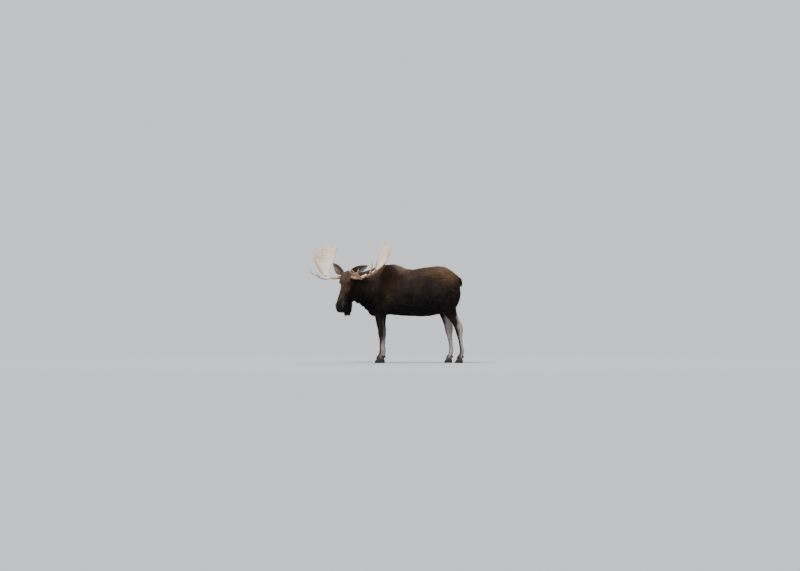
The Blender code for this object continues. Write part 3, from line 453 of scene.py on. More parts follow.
# eyes: an almond opening in lids that hug the ball
LID_TILT = math.radians(-14)
lid_rim = np.zeros(len(points))
eye_near = np.zeros(len(points))
for hand, centre in eye_centres.items():
    rel, p, q, out = around(centre, hand, LID_TILT)
    far = norm(rel)
    open_at = np.sqrt((p / 0.0205) ** 2 + ((q + 0.0015) / 0.0118) ** 2)
    near = (far < 0.075) & (out > -0.012)
    lid = step(2.5, 1.15, open_at)
    lid_radius = eye_radius + 0.0016 + 0.0016 * np.exp(-((open_at - 1.18) / 0.16) ** 2)
    crease = 0.0016 * np.exp(-((open_at - 1.75) / 0.16) ** 2)
    held = np.minimum(np.maximum(far, lid_radius), lid_radius + 0.004)
    radius = far * (1 - lid) + held * lid - crease * lid
    radius = np.where(open_at < 1, 0.8 * eye_radius, radius)
    moved = centre + rel / np.maximum(far, 1e-6)[:, None] * radius[:, None]
    points = np.where(near[:, None], moved, points)
    lid_rim = np.maximum(lid_rim, np.where(near, step(1.48, 1.15, open_at), 0))
    eye_near = np.maximum(eye_near, np.where(near, step(3.4, 1.6, open_at), 0))

# nostrils: a long slit each, with a rounded rim
NOSTRIL_TILT = math.radians(38)
nostril_dark = np.zeros(len(points))
for hand, centre in zip((1, -1), nostril_centres):
    rel, p, q, out = around(centre, hand, NOSTRIL_TILT)
    q = q - 6 * p * p
    span = np.sqrt((p / 0.04) ** 2 + (q / np.maximum(0.005, 0.0135 + 0.13 * p)) ** 2)
    near = (norm(rel) < 0.085) & (out > -0.05)
    hole = np.where(near, step(1.25, 0.45, span), 0)
    rim = np.where(near, np.exp(-((span - 1.55) / 0.38) ** 2), 0)
    inward = unit(-LEFTWARD * hand - NOSEWARD * 0.35 - CROWNWARD * 0.25)
    points = points + inward * (0.026 * hole)[:, None] - inward * (0.0026 * rim)[:, None]
    nostril_dark = np.maximum(nostril_dark, step(0.1, 0.7, hole))
dark_line = np.maximum(nostril_dark, mouth_dark)

points = averaged(points, edges, 1, 0.35)
normals = get_normals(points, triangles)

# ---- Markings, shared by the skin and the coat ----

BLACK_BROWN = (0.0048, 0.0037, 0.0038)
DARK_BROWN = (0.021, 0.0128, 0.0096)
BACK_BROWN = (0.058, 0.032, 0.0195)
HUMP_GREY = (0.168, 0.119, 0.09)
CROUP_GOLD = (0.15, 0.092, 0.046)
LEG_BROWN = (0.09, 0.068, 0.058)
LEG_GREY = (0.39, 0.34, 0.335)
FOREHEAD = (0.064, 0.0435, 0.034)
FACE_RED = (0.054, 0.0305, 0.0215)
MUZZLE = (0.009, 0.0066, 0.0066)
NOSE_PALE = (0.056, 0.043, 0.041)
LIP_BLACK = (0.0085, 0.007, 0.0073)
EAR_GREY = (0.054, 0.044, 0.0355)
EAR_PALE = (0.124, 0.103, 0.0815)
EAR_RUST = (0.095, 0.048, 0.028)


def tinted(colour, *layers):
    """Colours laid over a first one, each as strongly as its amount says."""
    for target, amount in layers:
        amount = clip(amount)[:, None]
        colour = colour * (1 - amount) + np.asarray(target) * amount
    return colour


def body_colour(soft, level):
    """Nearly black below, brown above, with a grey hump patch and gold streaks on the croup: partly the
    coat's own colours, partly painted light on the back and painted shade low down.
    """
    place = np.stack(to_body(points), axis=1)
    y, z = place[:, 1], place[:, 2]
    blade = np.exp(-((y - 0.03 + soft) / 0.11) ** 2) * step(0.95, 1.25, z)
    hump_patch = bell_curve(place, (0, 0.25, 1.8), (0.26, 0.19, 0.105)) + 0.03 * waves(points, 0.05, 15)
    streak = 0.5 + 0.5 * np.tanh(1.8 * waves(place * (1, 0.16, 1), 0.038, 13))
    croup = bell_curve(place, (0, 1.14, 1.68), (0.45, 0.28, 0.135))
    loin = bell_curve(place, (0, 0.95, 1.78), (0.25, 0.22, 0.07))
    # the rise from black to brown with height, and the pale hump, loin and croup, are partly painted light
    # from above and partly painted shade below
    return tinted(
        np.tile(BLACK_BROWN, (len(points), 1)),
        (DARK_BROWN, step(1.1, 1.52, level)),
        (BACK_BROWN, 0.85 * step(1.48, 1.78, level)),
        (BACK_BROWN, 0.6 * blade),
        (HUMP_GREY, 0.95 * hump_patch * trunk),
        (CROUP_GOLD, (0.12 + 0.8 * streak) * croup * trunk),
        (HUMP_GREY, 0.35 * loin * trunk),
        (BLACK_BROWN, 0.65 * neck * step(1.42, 1.16, level)),
        (BACK_BROWN, 0.35 * neck * step(1.5, 1.68, level)))


def leg_colour(colour, region, soft):
    """Grey from the hock or knee down, dark along the front and above the hoof."""
    z = points[:, 2]
    hand = 1 if region.endswith("left") else -1
    rearward = normals[:, 1] - 0.35 * hand * normals[:, 0] + 0.04 * waves(points, 0.14, 14)
    lower = step(0.55, 0.3, z)
    if region.startswith("hind"):
        edge = 0.12 - 0.8 * step(0.95, 0.6, z)
        grey = step(1, 0.82, z + 0.5 * soft) * step(edge, edge + 0.65, rearward)
    else:
        edge = 0.25 - 0.85 * lower
        grey = step(0.8, 0.6, z + soft) * step(edge, edge + 0.7, rearward)
        grey = grey * (0.6 + 0.4 * lower)
    return tinted(
        colour,
        (DARK_BROWN, mask[region] * step(1, 0.75, z) * 0.75),
        (LEG_BROWN, mask[region] * lower * 0.55),
        (LEG_GREY, 0.92 * grey * mask[region]),
        (DARK_BROWN, mask[region] * 0.65 * step(0.17, 0.11, z)))


def face_colour(colour, soft):
    """Pale forehead, reddish face, black muzzle and lips, with a pale streak beside each nostril that is
    partly pale hair and partly a painted highlight.
    """
    local = to_head(points)
    a, s, c = np.abs(local[:, 0]), local[:, 1] + 0.3 * soft, local[:, 2]
    place = np.stack((a, s, c), axis=1)
    # pale streak beside each nostril: partly pale hair, partly a painted highlight
    nose_side = bell_curve(place, (0.066, 0.668, 0.062), (0.016, 0.052, 0.034))
    brow = bell_curve(place, (0.105, 0.2, 0.052), (0.05, 0.045, 0.02))
    return tinted(
        colour,
        (DARK_BROWN, in_head),
        (FOREHEAD, in_head * step(0.01, 0.05, c) * step(0.27, 0.15, s)),
        (FACE_RED, in_head * 0.95 * step(0.14, 0.24, s) * step(0.52, 0.3, s) * step(-0.06, 0.02, c)),
        (MUZZLE, in_head * step(0.26, 0.52, s) * step(-0.1, -0.05, c)),
        (FOREHEAD, in_head * 0.45 * step(0.3, 0.45, s) * step(0.055, 0.085, c) * step(0.66, 0.5, s)),
        (BLACK_BROWN, in_head * 0.7 * step(-0.03, -0.1, c) * step(0.6, 0.3, s)),
        (LIP_BLACK, in_head * step(0.655, 0.735, s)),
        (LIP_BLACK, in_head * step(-0.075, -0.115, c) * step(0.44, 0.54, s)),
        (NOSE_PALE, 0.7 * in_head * nose_side),
        (np.multiply(FOREHEAD, 1.15), 0.6 * in_head * brow),
        (LIP_BLACK, dark_line),
        (LIP_BLACK, lid_rim))


def ear_colour(colour, region):
    """Grey back, pale hair inside with rust at the root."""
    ear = clip(1.6 * mask[region])
    from_root = norm(points - (BROW_CENTRE + UP * 0.06))
    inside = step(-0.1, 0.45, normals @ unit(FACING - 0.15 * UP))
    return tinted(
        colour,
        (EAR_GREY, ear),
        (EAR_PALE, ear * inside * 0.85),
        (EAR_RUST, ear * inside * step(0.27, 0.17, from_root) * 0.8),
        (DARK_BROWN, ear * (1 - inside) * step(0.22, 0.14, from_root) * 0.7))


def markings():
    """Colour of the coat at each point of the skin."""
    soft = waves(points, 0.3, 11) * 0.05
    colour = body_colour(soft, points[:, 2] + soft + waves(points, 0.09, 12) * 0.012)
    for region in LEGS:
        colour = leg_colour(colour, region, soft)
    colour = face_colour(colour, soft)
    for region in EARS:
        colour = ear_colour(colour, region)
    return tinted(
        colour,
        (np.multiply(DARK_BROWN, 0.6) + np.multiply(BLACK_BROWN, 0.4), clip(1.4 * bell)),
        (BLACK_BROWN, 0.8 * tail))


colour = markings()

# ---- Lie of the coat ----


def lie_of_coat():
    """Direction in which the hair lies at each place of the skin."""
    flow = np.zeros((len(points), 3))
    down = -UP
    x, y, z = to_body(points)
    lower = step(1.75, 1.05, z)
    fall = (0.18 + 0.65 * lower + 0.9 * step(0.95, 1.32, y))[:, None]
    part = np.sign(x)[:, None] * np.array((0.35, 0, 0)) * step(1.5, 1.75, z)[:, None]
    flow += trunk[:, None] * (BACK + down * fall + part)
    chest = step(-0.1, -0.28, y)[:, None]
    flow += trunk[:, None] * chest * (down * 0.9 - BACK * 0.5)
    neck_way = unit((-0.3, 0.92, -0.1))
    flow += neck[:, None] * (neck_way + down * (0.15 + 0.75 * step(1.66, 1.15, z))[:, None])
    cheek = step(0, -0.12, above)[:, None]
    outward = np.sign(head_place[:, :1]) * LEFTWARD * 0.25
    flow += head[:, None] * (-NOSEWARD - CROWNWARD * 0.6 * cheek + outward)
    for region in EARS:
        tip = points[np.argmax(mask[region] * norm(points - BROW_CENTRE))]
        flow += mask[region][:, None] * unit(tip - BROW_CENTRE) * 1.2
    for region in LEGS:
        flow += mask[region][:, None] * (down + BACK * 0.3)
    flow += bell[:, None] * down * 1.2 + tail[:, None] * (down + BACK * 0.2)
    for _ in range(3):
        flow = unit(flow - normals * (flow * normals).sum(axis=1, keepdims=True))
        flow = averaged(flow, edges, 12)
    return unit(flow - normals * (flow * normals).sum(axis=1, keepdims=True))


flow = lie_of_coat()

# ---- Length, width and closeness of the tufts ----

ear_inside = clip(ears) * step(0, 0.5, normals @ unit(FACING - 0.15 * UP))
mane = neck * step(1.56, 1.72, z) + hump * trunk
belly = trunk * step(1, 0.92, z)
muzzle = in_head * step(0.48, 0.6, along)
feet = legs * step(0.45, 0.25, z)

length = 0.034 * trunk + 0.037 * neck + 0.0165 * head + 0.055 * bell
length += 0.045 * tail + 0.014 * ears
for region in LEGS:
    length += mask[region] * (0.0155 + 0.0145 * step(0.55, 0.9, z))
length += 0.02 * mane + 0.016 * throat + 0.006 * belly + 0.012 * ear_inside
length += 0.006 * in_head * (step(0.2, 0.08, along) + step(-0.05, -0.12, above) * step(0.5, 0.3, along))
length -= 0.009 * muzzle + 0.004 * clip(feet)
coronet = legs * step(0.14, 0.108, z)
length = np.maximum(length * (1 - 0.45 * eye_near), 0.006) + 0.017 * coronet
width = 0.0013 + 0.045 * length
# closeness: tufts for each unit of area, scaled later to the total
closeness = (1 + 0.8 * coronet) / (0.3 * length + 0.003) ** 1.25
closeness *= 1 - clip(nostril_dark + 0.8 * mouth_dark + 1.2 * lid_rim)
closeness *= np.where(z < 0.092, 0, 1)
nose_pad = step(1, 0.55, np.hypot(aside / 0.032, (above - 0.02) / 0.04))
nose_pad = in_head * step(0.68, 0.705, along) * nose_pad
closeness *= 1 - nose_pad
lift = np.minimum(depth + 0.009 * coronet, 0.33 * length)

# ---- Scatter the roots ----


def scatter(total):
    """Random places on the skin's triangles, as close together as closeness asks."""
    a, b, c = (points[triangles[:, k]] for k in range(3))
    area = 0.5 * norm(np.cross(b - a, c - a))
    want = area * closeness[triangles].mean(axis=1)
    reach = np.cumsum(want)
    marks = (np.arange(total) + rng.uniform(0, 1, total)) * (reach[-1] / total)
    chosen = np.searchsorted(reach, marks)
    chosen = np.minimum(chosen, len(triangles) - 1)
    r1, r2 = np.sqrt(rng.uniform(0, 1, total)), rng.uniform(0, 1, total)
    weights = np.stack((1 - r1, r1 * (1 - r2), r1 * r2), axis=1)
    return triangles[chosen], weights


corner, weight = scatter(TUFT_TOTAL)


def at_roots(values):
    if values.ndim == 1:
        return (values[corner] * weight).sum(axis=1)
    return (values[corner] * weight[:, :, None]).sum(axis=1)


root = at_roots(points)
root_normal = unit(at_roots(normals))
root_flow = at_roots(flow)
root_length = at_roots(length) * rng.uniform(0.75, 1.22, TUFT_TOTAL)
root_width = at_roots(width) * rng.uniform(0.75, 1.25, TUFT_TOTAL)
root_lift = at_roots(lift) * rng.uniform(0.35, 1.15, TUFT_TOTAL)
root_colour = at_roots(colour)
root_region = owner[corner[:, 0]]
swirl = 0.1 * waves(root, 0.17, 21) + 0.06 * waves(root, 0.045, 22) + rng.normal(0, 0.09, TUFT_TOTAL)
root_length *= 1 + 0.08 * waves(root, 0.05, 23)
root_tone = 0.5 + 0.05 * waves(root, 0.06, 24) + 0.07 * waves(root, 0.021, 25)
root_tone = clip(root_tone + rng.normal(0, 0.1, TUFT_TOTAL))

root_flow = unit(root_flow - root_normal * (root_flow * root_normal).sum(axis=1, keepdims=True))
across = np.cross(root_normal, root_flow)
root_flow = unit(root_flow * np.cos(swirl)[:, None] + across * np.sin(swirl)[:, None])
across = np.cross(root_normal, root_flow)

# ---- Materials ----


class Nodes:
    """A material's node tree, built in few words."""

    def __init__(self, name, roughness, **sockets):
        self.material = bpy.data.materials.new(name)
        self.material.use_nodes = True
        self.tree = self.material.node_tree
        self.shader = self.tree.nodes["Principled BSDF"]
        self.shader.inputs["Roughness"].default_value = roughness
        for socket, value in sockets.items():
            self.shader.inputs[socket.replace("_", " ")].default_value = value

    def put(self, value, socket):
        if isinstance(value, bpy.types.NodeSocket):
            self.tree.links.new(value, socket)
        elif value is not None:
            socket.default_value = value

    def node(self, kind, output, inputs, **settings):
        """One output of a new node, whose inputs are linked or set."""
        made = self.tree.nodes.new("ShaderNode" + kind)
        for key, value in settings.items():
            setattr(made, key, value)
        for socket, value in inputs.items():
            self.put(value, made.inputs[socket])
        return made.outputs[output]

    def place(self):
        return self.node("TexCoord", "Object", {})

    def attribute(self, name, output="Fac"):
        return self.node("Attribute", output, {}, attribute_name=name)

    def combined(self, *parts):
        return self.node("CombineXYZ", 0, dict(enumerate(parts)))

    def apart(self, axis):
        return self.node("SeparateXYZ", axis, {0: self.place()})

    def stretched(self, vector, scale):
        return self.node("Mapping", "Vector", {"Vector": vector, "Scale": scale})

    def noise(self, vector, scale, detail=3, roughness=0.5, distortion=0):
        return self.node("TexNoise", "Fac", {
            "Vector": vector, "Scale": scale, "Detail": detail, "Roughness": roughness,
            "Distortion": distortion})

    def cells(self, vector, scale):
        return self.node("TexVoronoi", "Distance", {"Vector": vector, "Scale": scale})

    def maths(self, operation, a, b=0):
        return self.node("Math", 0, {0: a, 1: b}, operation=operation)

    def times(self, a, b):
        return self.maths("MULTIPLY", a, b)

    def plus(self, a, b):
        return self.maths("ADD", a, b)

    def between(self, value, low, high, to_low=0, to_high=1):
        """From to_low to to_high, smoothly, as the value goes from low to high."""
        return self.node("MapRange", "Result", {
            "Value": value, "From Min": low, "From Max": high, "To Min": to_low, "To Max": to_high},
            interpolation_type="SMOOTHSTEP")

    def mix(self, factor, a, b, blend="MIX"):
        a, b = (c if isinstance(c, bpy.types.NodeSocket) else (*c, 1) for c in (a, b))
        return self.node("Mix", 2, {0: factor, 6: a, 7: b}, data_type="RGBA", blend_type=blend)

    def varied(self, noise, a, b):
        """A colour that goes from a to b with a noise."""
        return self.mix(self.between(noise, 0.3, 0.7), a, b)

    def scaled(self, colour, by):
        return self.mix(1, colour, by, "MULTIPLY")

    def bump(self, height, distance, strength=1, normal=None):
        return self.node("Bump", "Normal", {
            "Strength": strength, "Distance": distance, "Height": height, "Normal": normal})

    def finish(self, colour, roughness=None, normal=None):
        for value, socket in ((colour, "Base Color"), (roughness, "Roughness"), (normal, "Normal")):
            self.put(value, self.shader.inputs[socket])
        return self.material


def hair_material():
    """Hair in tufts: the markings, with painted shade at the root and a painted highlight at the tip, and
    strands and patches of lighter tone.
    """
    m = Nodes("moose_hair", 0.66, Specular_IOR_Level=0.06)
    tip, tone = m.attribute("tip"), m.attribute("tone")
    strand_place = m.combined(m.times(m.attribute("across"), 3.2), m.times(tip, 0.7), m.times(tone, 60))
    strands = m.noise(strand_place, 2.6, 2)
    patches = m.noise(m.place(), 11)
    # painted shade at each tuft's root and a painted highlight at its tip, times the tuft's own tone
    light = m.times(m.between(tip, 0, 1, 0.7, 1.2), m.between(tone, 0, 1, 0.66, 1.4))
    light = m.times(light, m.between(strands, 0.3, 0.7, 0.82, 1.2))
    light = m.times(light, m.between(patches, 0.3, 0.7, 0.88, 1.14))
    light = m.node("CombineColor", 0, {0: light, 1: light, 2: light})
    colour = m.scaled(m.attribute("coat", "Color"), light)
    colour = m.mix(m.between(tone, 0.55, 1, 0, 0.35), colour, m.scaled(colour, (1.45, 1, 0.72)))
    return m.finish(colour, m.between(strands, 0.25, 0.75, 0.5, 0.68), m.bump(strands, 0.0006, 0.5))


def skin_material():
    """Skin with its undercoat: the same markings, a little darker, with fine lying hair in the bump."""
    m = Nodes("moose_skin", 0.72, Specular_IOR_Level=0.08)
    base, bare, place = m.attribute("coat", "Color"), m.attribute("bare"), m.place()
    fine = m.noise(m.stretched(place, (1, 0.45, 0.55)), 420, 3, 0.6)
    naked = m.varied(m.noise(place, 60), (0.007, 0.0058, 0.0058), (0.016, 0.0128, 0.0125))
    under = m.scaled(base, (0.72, 0.7, 0.7))
    under = m.mix(m.between(fine, 0.35, 0.65, 0, 0.5), under, m.scaled(base, (1.15, 1.1, 1.05)))
    roughness = m.mix(bare, (0.76, 0.76, 0.76), (0.62, 0.62, 0.62))
    height = m.plus(m.times(fine, 0.6), m.times(m.cells(place, 260), 0.4))
    return m.finish(m.mix(bare, under, naked), roughness, m.bump(height, 0.0012, 0.6))


def antler_material():
    """Bone polished by rubbing: cream palms with fine grooves, golden brown low down, tan on the outer and
    lower faces partly as painted shade, paler at the points.
    """
    m = Nodes("moose_antler", 0.5, Specular_IOR_Level=0.3)
    reach, turn, thin, calm, under, tip = map(m.attribute, ("reach", "turn", "thin", "calm", "under", "tip"))
    place = m.place()
    grooves = m.noise(m.combined(m.times(turn, 22), m.times(reach, 3)), 1, 4, 0.62, 0.15)
    pits, blotch, pearls = m.noise(place, 190, 3, 0.6), m.noise(place, 9), m.cells(place, 190)
    burr = m.between(reach, 0.075, 0.035)
    stain = m.times(m.between(grooves, 0.57, 0.4), m.times(calm, 0.42))
    cream = m.varied(blotch, (0.54, 0.4, 0.325), (0.65, 0.52, 0.435))
    tan = m.varied(blotch, (0.2, 0.12, 0.06), (0.29, 0.19, 0.105))
    colour = m.mix(m.between(m.plus(reach, m.times(blotch, 0.15)), 0.15, 0.48), tan, cream)
    for amount, layer in (
            (m.times(thin, 0.6), (0.47, 0.31, 0.17)),
            # the under layer: partly the tan outer side, partly painted shade on faces turned down
            (m.times(under, 0.9), (0.27, 0.145, 0.058)),
            (stain, (0.33, 0.2, 0.12)),
            (m.times(burr, m.between(pearls, 0.2, 0.6, 0.35, 0.95)), (0.17, 0.1, 0.06)),
            (m.times(tip, 0.9), (0.8, 0.74, 0.66))):
        colour = m.mix(amount, colour, layer)
    roughness = m.between(m.maths("SUBTRACT", grooves, m.times(tip, 0.3)), 0.1, 0.7, 0.38, 0.62)
    grooved = m.bump(m.times(grooves, calm), 0.005, 0.5)
    pearled = m.bump(m.times(burr, pearls), 0.005, 0.8, grooved)
    return m.finish(colour, roughness, m.bump(pits, 0.0008, 0.5, pearled))


def hoof_material():
    """Dark horn with growth rings and upright grain, paler where it wears at the ground."""
    m = Nodes("moose_hoof", 0.45, Specular_IOR_Level=0.18)
    rings = m.noise(m.stretched(m.place(), (0.1, 0.1, 1)), 210, 3, 0.6)
    grain = m.noise(m.stretched(m.place(), (1, 1, 0.08)), 260, 3, 0.6)
    wear = m.between(m.apart("Z"), 0.022, 0.002)
    colour = m.varied(grain, (0.008, 0.0065, 0.006), (0.024, 0.019, 0.016))
    colour = m.mix(m.times(wear, 0.5), colour, (0.075, 0.062, 0.05))
    height = m.plus(rings, m.times(grain, 0.35))
    return m.finish(colour, m.between(rings, 0.3, 0.7, 0.36, 0.6), m.bump(height, 0.0016, 0.6))


def eye_material():
    """Dark brown iris with a wide level pupil, under a wet clear surface."""
    m = Nodes("moose_eye", 0.1, Specular_IOR_Level=0.15, Coat_Weight=0.22, Coat_Roughness=0.04)

    def from_middle(x, y):
        return m.maths("SQRT", m.plus(m.maths("POWER", x, 2), m.maths("POWER", y, 2)))

    x, y = m.apart("X"), m.apart("Y")
    pupil = from_middle(m.times(x, 1 / (0.46 * eye_radius)), m.times(y, 1 / (0.25 * eye_radius)))
    rays = m.noise(m.place(), 900)
    iris = m.varied(rays, (0.01, 0.0055, 0.003), (0.03, 0.0145, 0.007))
    colour = m.mix(m.between(pupil, 0.9, 1.1), (0.002, 0.002, 0.003), iris)
    edge = m.between(from_middle(x, y), 0.7 * eye_radius, 0.8 * eye_radius)
    colour = m.mix(edge, colour, (0.01, 0.007, 0.006))
    return m.finish(colour, m.between(rays, 0.3, 0.7, 0.05, 0.09))


# ---- Skin object ----

set_points(skin_mesh, points)
add_attribute(skin_mesh, "coat", colour, "FLOAT_COLOR")
add_attribute(skin_mesh, "bare", clip(dark_line + lid_rim + nose_pad))
shade_smooth(skin_mesh)
skin = new_object("moose_skin", skin_mesh, skin_material())
keep = clip(in_head + 0.6 * clip(ears) + 0.35 * clip(legs) + bell * 0.3)
group = skin.vertex_groups.new(name="keep")
for tenth in range(1, 11):
    chosen = np.nonzero(np.rint(keep * 10).astype(int) == tenth)[0]
    if len(chosen):
        group.add(chosen.tolist(), tenth / 10, "REPLACE")
thin = skin.modifiers.new("thin", "DECIMATE")
thin.ratio = SKIN_TRIANGLES / len(triangles)
thin.vertex_group = "keep"
thin.invert_vertex_group = True
thin.vertex_group_factor = 1
thin.use_collapse_triangulate = True
thin_mesh = evaluated_mesh(skin)
thin_mesh.name = "moose_skin"
skin.modifiers.clear()
skin.vertex_groups.clear()
skin.data = thin_mesh
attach(skin, "root")
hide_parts(*flesh_nodes)
print("skin triangles", len(get_triangles(thin_mesh)), "from", len(triangles))

# ---- Coat pieces ----


def round_trip(points, axis_point, axis, side):
    """Angle about an axis, as 0 to 1, measured from the far side of the given direction."""
    axis = unit(axis)
    side = unit(side - axis * (side @ axis))
    other = np.cross(axis, side)
    rel = points - axis_point
    return np.arctan2(rel @ other, rel @ side) / (2 * math.pi) + 0.5


def fitted(values):
    low, high = np.percentile(values, (0.2, 99.8))
    return clip((values - low) / max(high - low, 1e-6))


def unwrapped(which, kind):
    """Each root's place, 0 to 1 both ways, on an unwrap about the axis of its region."""
    p = root[which]
    trunk_axis = np.array((middle_x, 0, 1.3))
    if kind == "trunk":
        hand = p[:, 0].mean() - middle_x
        angle = round_trip(p, trunk_axis, BACK, np.array((hand, 0, 0)))
        return fitted(angle), fitted(p[:, 1])
    if kind == "neck":
        start = POLL + np.array((-0.06, 0.02, -0.26))
        axis = np.array((middle_x, -0.1, 1.33)) - start
        angle = round_trip(p, start, axis, UP)
        return fitted(angle), fitted((p - start) @ unit(axis))
    if kind == "head":
        local = to_head(p)
        angle = np.arctan2(local[:, 0], local[:, 2] + 0.03) / (2 * math.pi) + 0.5
        return fitted(angle), fitted(local[:, 1])
    u = np.zeros(len(p))
    v = np.zeros(len(p))
    names = [REGIONS[n] for n in sorted(set(root_region[which].tolist()))]
    for column, region in enumerate(names):
        own = root_region[which] == NUMBER_OF[region]
        q = p[own]
        if region.startswith("ear"):
            axis = q[np.argmax(norm(q - BROW_CENTRE))] - BROW_CENTRE
            angle = round_trip(q, q.mean(axis=0), axis, -FACING)
            up = q @ unit(axis)
        else:
            middle = np.array([np.interp(q[:, 2], *level_means(q, k)) for k in range(2)]).T
            angle = np.arctan2(q[:, 1] - middle[:, 1], q[:, 0] - middle[:, 0]) / (2 * math.pi) + 0.5
            up = q[:, 2]
        u[own] = (column + 0.03 + 0.94 * fitted(angle)) / len(names)
        v[own] = fitted(up)
    return u, v


def level_means(q, axis):
    """Mean place along one axis at each of a few heights, for the middle line of a limb."""
    bins = np.linspace(q[:, 2].min(), q[:, 2].max(), 24)
    which = np.clip(np.digitize(q[:, 2], bins) - 1, 0, len(bins) - 2)
    total = np.bincount(which, q[:, axis], len(bins) - 1)
    count = np.bincount(which, minlength=len(bins) - 1)
    good = count > 0
    middle = 0.5 * (bins[:-1] + bins[1:])
    return middle[good], total[good] / count[good]


def tuft_mesh(name, which, kind):
    """Blades with a ridge: three points at the root, three at the bend, one at the tip."""
    n = len(which)
    p, nrm, way, side = root[which], root_normal[which], root_flow[which], across[which]
    long, wide, rise = root_length[which], root_width[which], root_lift[which]
    curl = rng.normal(0, 0.1, n) * long
    spine = (
        p - nrm * 0.0015,
        p + way * (0.46 * long)[:, None] + nrm * (0.8 * rise)[:, None] + side * (0.3 * curl)[:, None],
        p + way * (0.98 * long)[:, None] + nrm * (0.86 * rise)[:, None] + side * curl[:, None])
    verts = np.empty((n, 7, 3))
    for ring, share in ((0, 0.62), (1, 1)):
        half = side * (0.5 * share * wide)[:, None]
        ridge = nrm * (0.26 * share * wide)[:, None]
        verts[:, 3 * ring] = spine[ring] - half
        verts[:, 3 * ring + 1] = spine[ring] + ridge
        verts[:, 3 * ring + 2] = spine[ring] + half
    verts[:, 6] = spine[2]
    pattern = np.array(((0, 4, 1), (0, 3, 4), (1, 5, 2), (1, 4, 5), (3, 6, 4), (4, 6, 5)))
    faces = (pattern[None] + 7 * np.arange(n)[:, None, None]).reshape(-1, 3)
    mesh = bpy.data.meshes.new(name)
    mesh.vertices.add(7 * n)
    fill(mesh.vertices, "co", verts)
    mesh.loops.add(3 * len(faces))
    fill(mesh.loops, "vertex_index", faces, np.int32)
    mesh.polygons.add(len(faces))
    fill(mesh.polygons, "loop_start", np.arange(0, 3 * len(faces), 3), np.int32)
    mesh.update(calc_edges=True)
    shade_smooth(mesh)
    add_attribute(mesh, "coat", np.repeat(root_colour[which], 7, axis=0), "FLOAT_COLOR")
    add_attribute(mesh, "tone", np.repeat(root_tone[which], 7))
    add_attribute(mesh, "tip", np.tile(TUFT_ALONG, n))
    add_attribute(mesh, "across", np.tile(TUFT_ACROSS, n))
    u, v = unwrapped(which, kind)
    edge = 2 * PATCH
    u, v = edge + (1 - 2 * edge) * u, edge + (1 - 2 * edge) * v
    patch = PATCH * np.stack((0.5 * TUFT_ACROSS, (-0.5, -0.5, -0.5, 0.1, 0.1, 0.1, 0.5)), axis=1)
    places = np.stack((u, v), axis=1)[:, None, :] + patch[None]
    fill(mesh.uv_layers.new(name="OFBake").data, "uv", places.reshape(-1, 2)[faces.ravel()])
    mesh.validate(clean_customdata=False)
    lean = nrm - 0.12 * way
    round_off = TUFT_ACROSS[None, :, None] * 0.38 * side[:, None]
    soft = unit(lean[:, None] + round_off).reshape(-1, 3)
    mesh.normals_split_custom_set_from_vertices(soft.tolist())
    return mesh


hair = hair_material()
left = root[:, 0] > middle_x
both = np.ones(TUFT_TOTAL, dtype=bool)
groups = (
    ("coat_trunk_left", ("trunk",), left, "trunk", "dark_coat"),
    ("coat_trunk_right", ("trunk",), ~left, "trunk", "dark_coat"),
    ("coat_neck", ("neck",), both, "neck", "dark_coat"),
    ("coat_head", ("head",), both, "head", "face_coat"),
    ("coat_forelegs", LEGS[:2], both, "columns", "pale_leg_coat"),
    ("coat_hindlegs", LEGS[2:], both, "columns", "pale_leg_coat"),
    ("coat_ears", EARS, both, "columns", "face_coat"),
    ("coat_bell_and_tail", ("bell", "tail"), both, "columns", "dark_coat"),
)
in_turn = {"trunk": lambda r: r[:, 1], "neck": lambda r: (r - POLL) @ unit((-0.25, 0.95, -0.1))}
for name, regions, on_side, kind, slot in groups:
    own = np.nonzero(on_side & np.isin(root_region, [NUMBER_OF[r] for r in regions]))[0]
    if kind in in_turn:
        own = own[np.argsort(in_turn[kind](root[own]), kind="stable")]
    parts = max(1, math.ceil(len(own) / PIECE_TUFTS))
    for number, which in enumerate(np.array_split(own, parts), 1):
        label = "%s_%d" % (name, number) if parts > 1 or kind == "trunk" else name
        piece = new_object(label, tuft_mesh(label, which, kind), hair)
        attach(piece, "root")
        print(label, len(which), "tufts")

# ---- Antlers ----


def pushed(mesh, amount):
    """The mesh with its surface moved out, or in, along soft normals."""
    p, e, t = get_points(mesh), get_edges(mesh), get_triangles(mesh)
    p = averaged(p, e, 3, 0.45)
    soft = unit(averaged(get_normals(p, t), e, 2))
    set_points(mesh, p + soft * amount)
    return mesh


def webbed(names):
    """An antler's lengths as one surface, with the corners between its points filled by webs of bone."""
    plain = remeshed([grown_node(n, BONE_GROW) for n in names], ANTLER_VOXEL)
    even = averaged(get_points(plain), get_edges(plain), 3, 0.45)
    find = BVHTree.FromPolygons(even.tolist(), get_triangles(plain).tolist()).find_nearest
    exact = plain.copy()
    mesh = pushed(remeshed([pushed(plain, ANTLER_WEB)], 0.005), -ANTLER_WEB)
    p, e = get_points(mesh), get_edges(mesh)
    pull = norm(averaged(p, e, 60) - p)
    found = [find(q) for q in p.tolist()]
    back, gap = np.array([f[0] for f in found]), np.array([f[3] for f in found])
    true = np.maximum(step(0.0065, 0.003, gap), step(0.009, 0.013, pull))
    set_points(mesh, averaged(p + (back - p) * averaged(true, e, 2)[:, None], e, 3, 0.45))
    return without_crumbs(remeshed([mesh, exact], 0.0047))


def palm_angle(spread):
    """Angle of each place about the fork, in the plane of its palm."""
    middle = unit(spread.mean(axis=0))
    plate_normal = np.linalg.svd(spread - spread.mean(axis=0), full_matrices=False)[2][2]
    wide = unit(np.cross(plate_normal, middle))
    return np.arctan2(spread @ wide, spread @ middle)


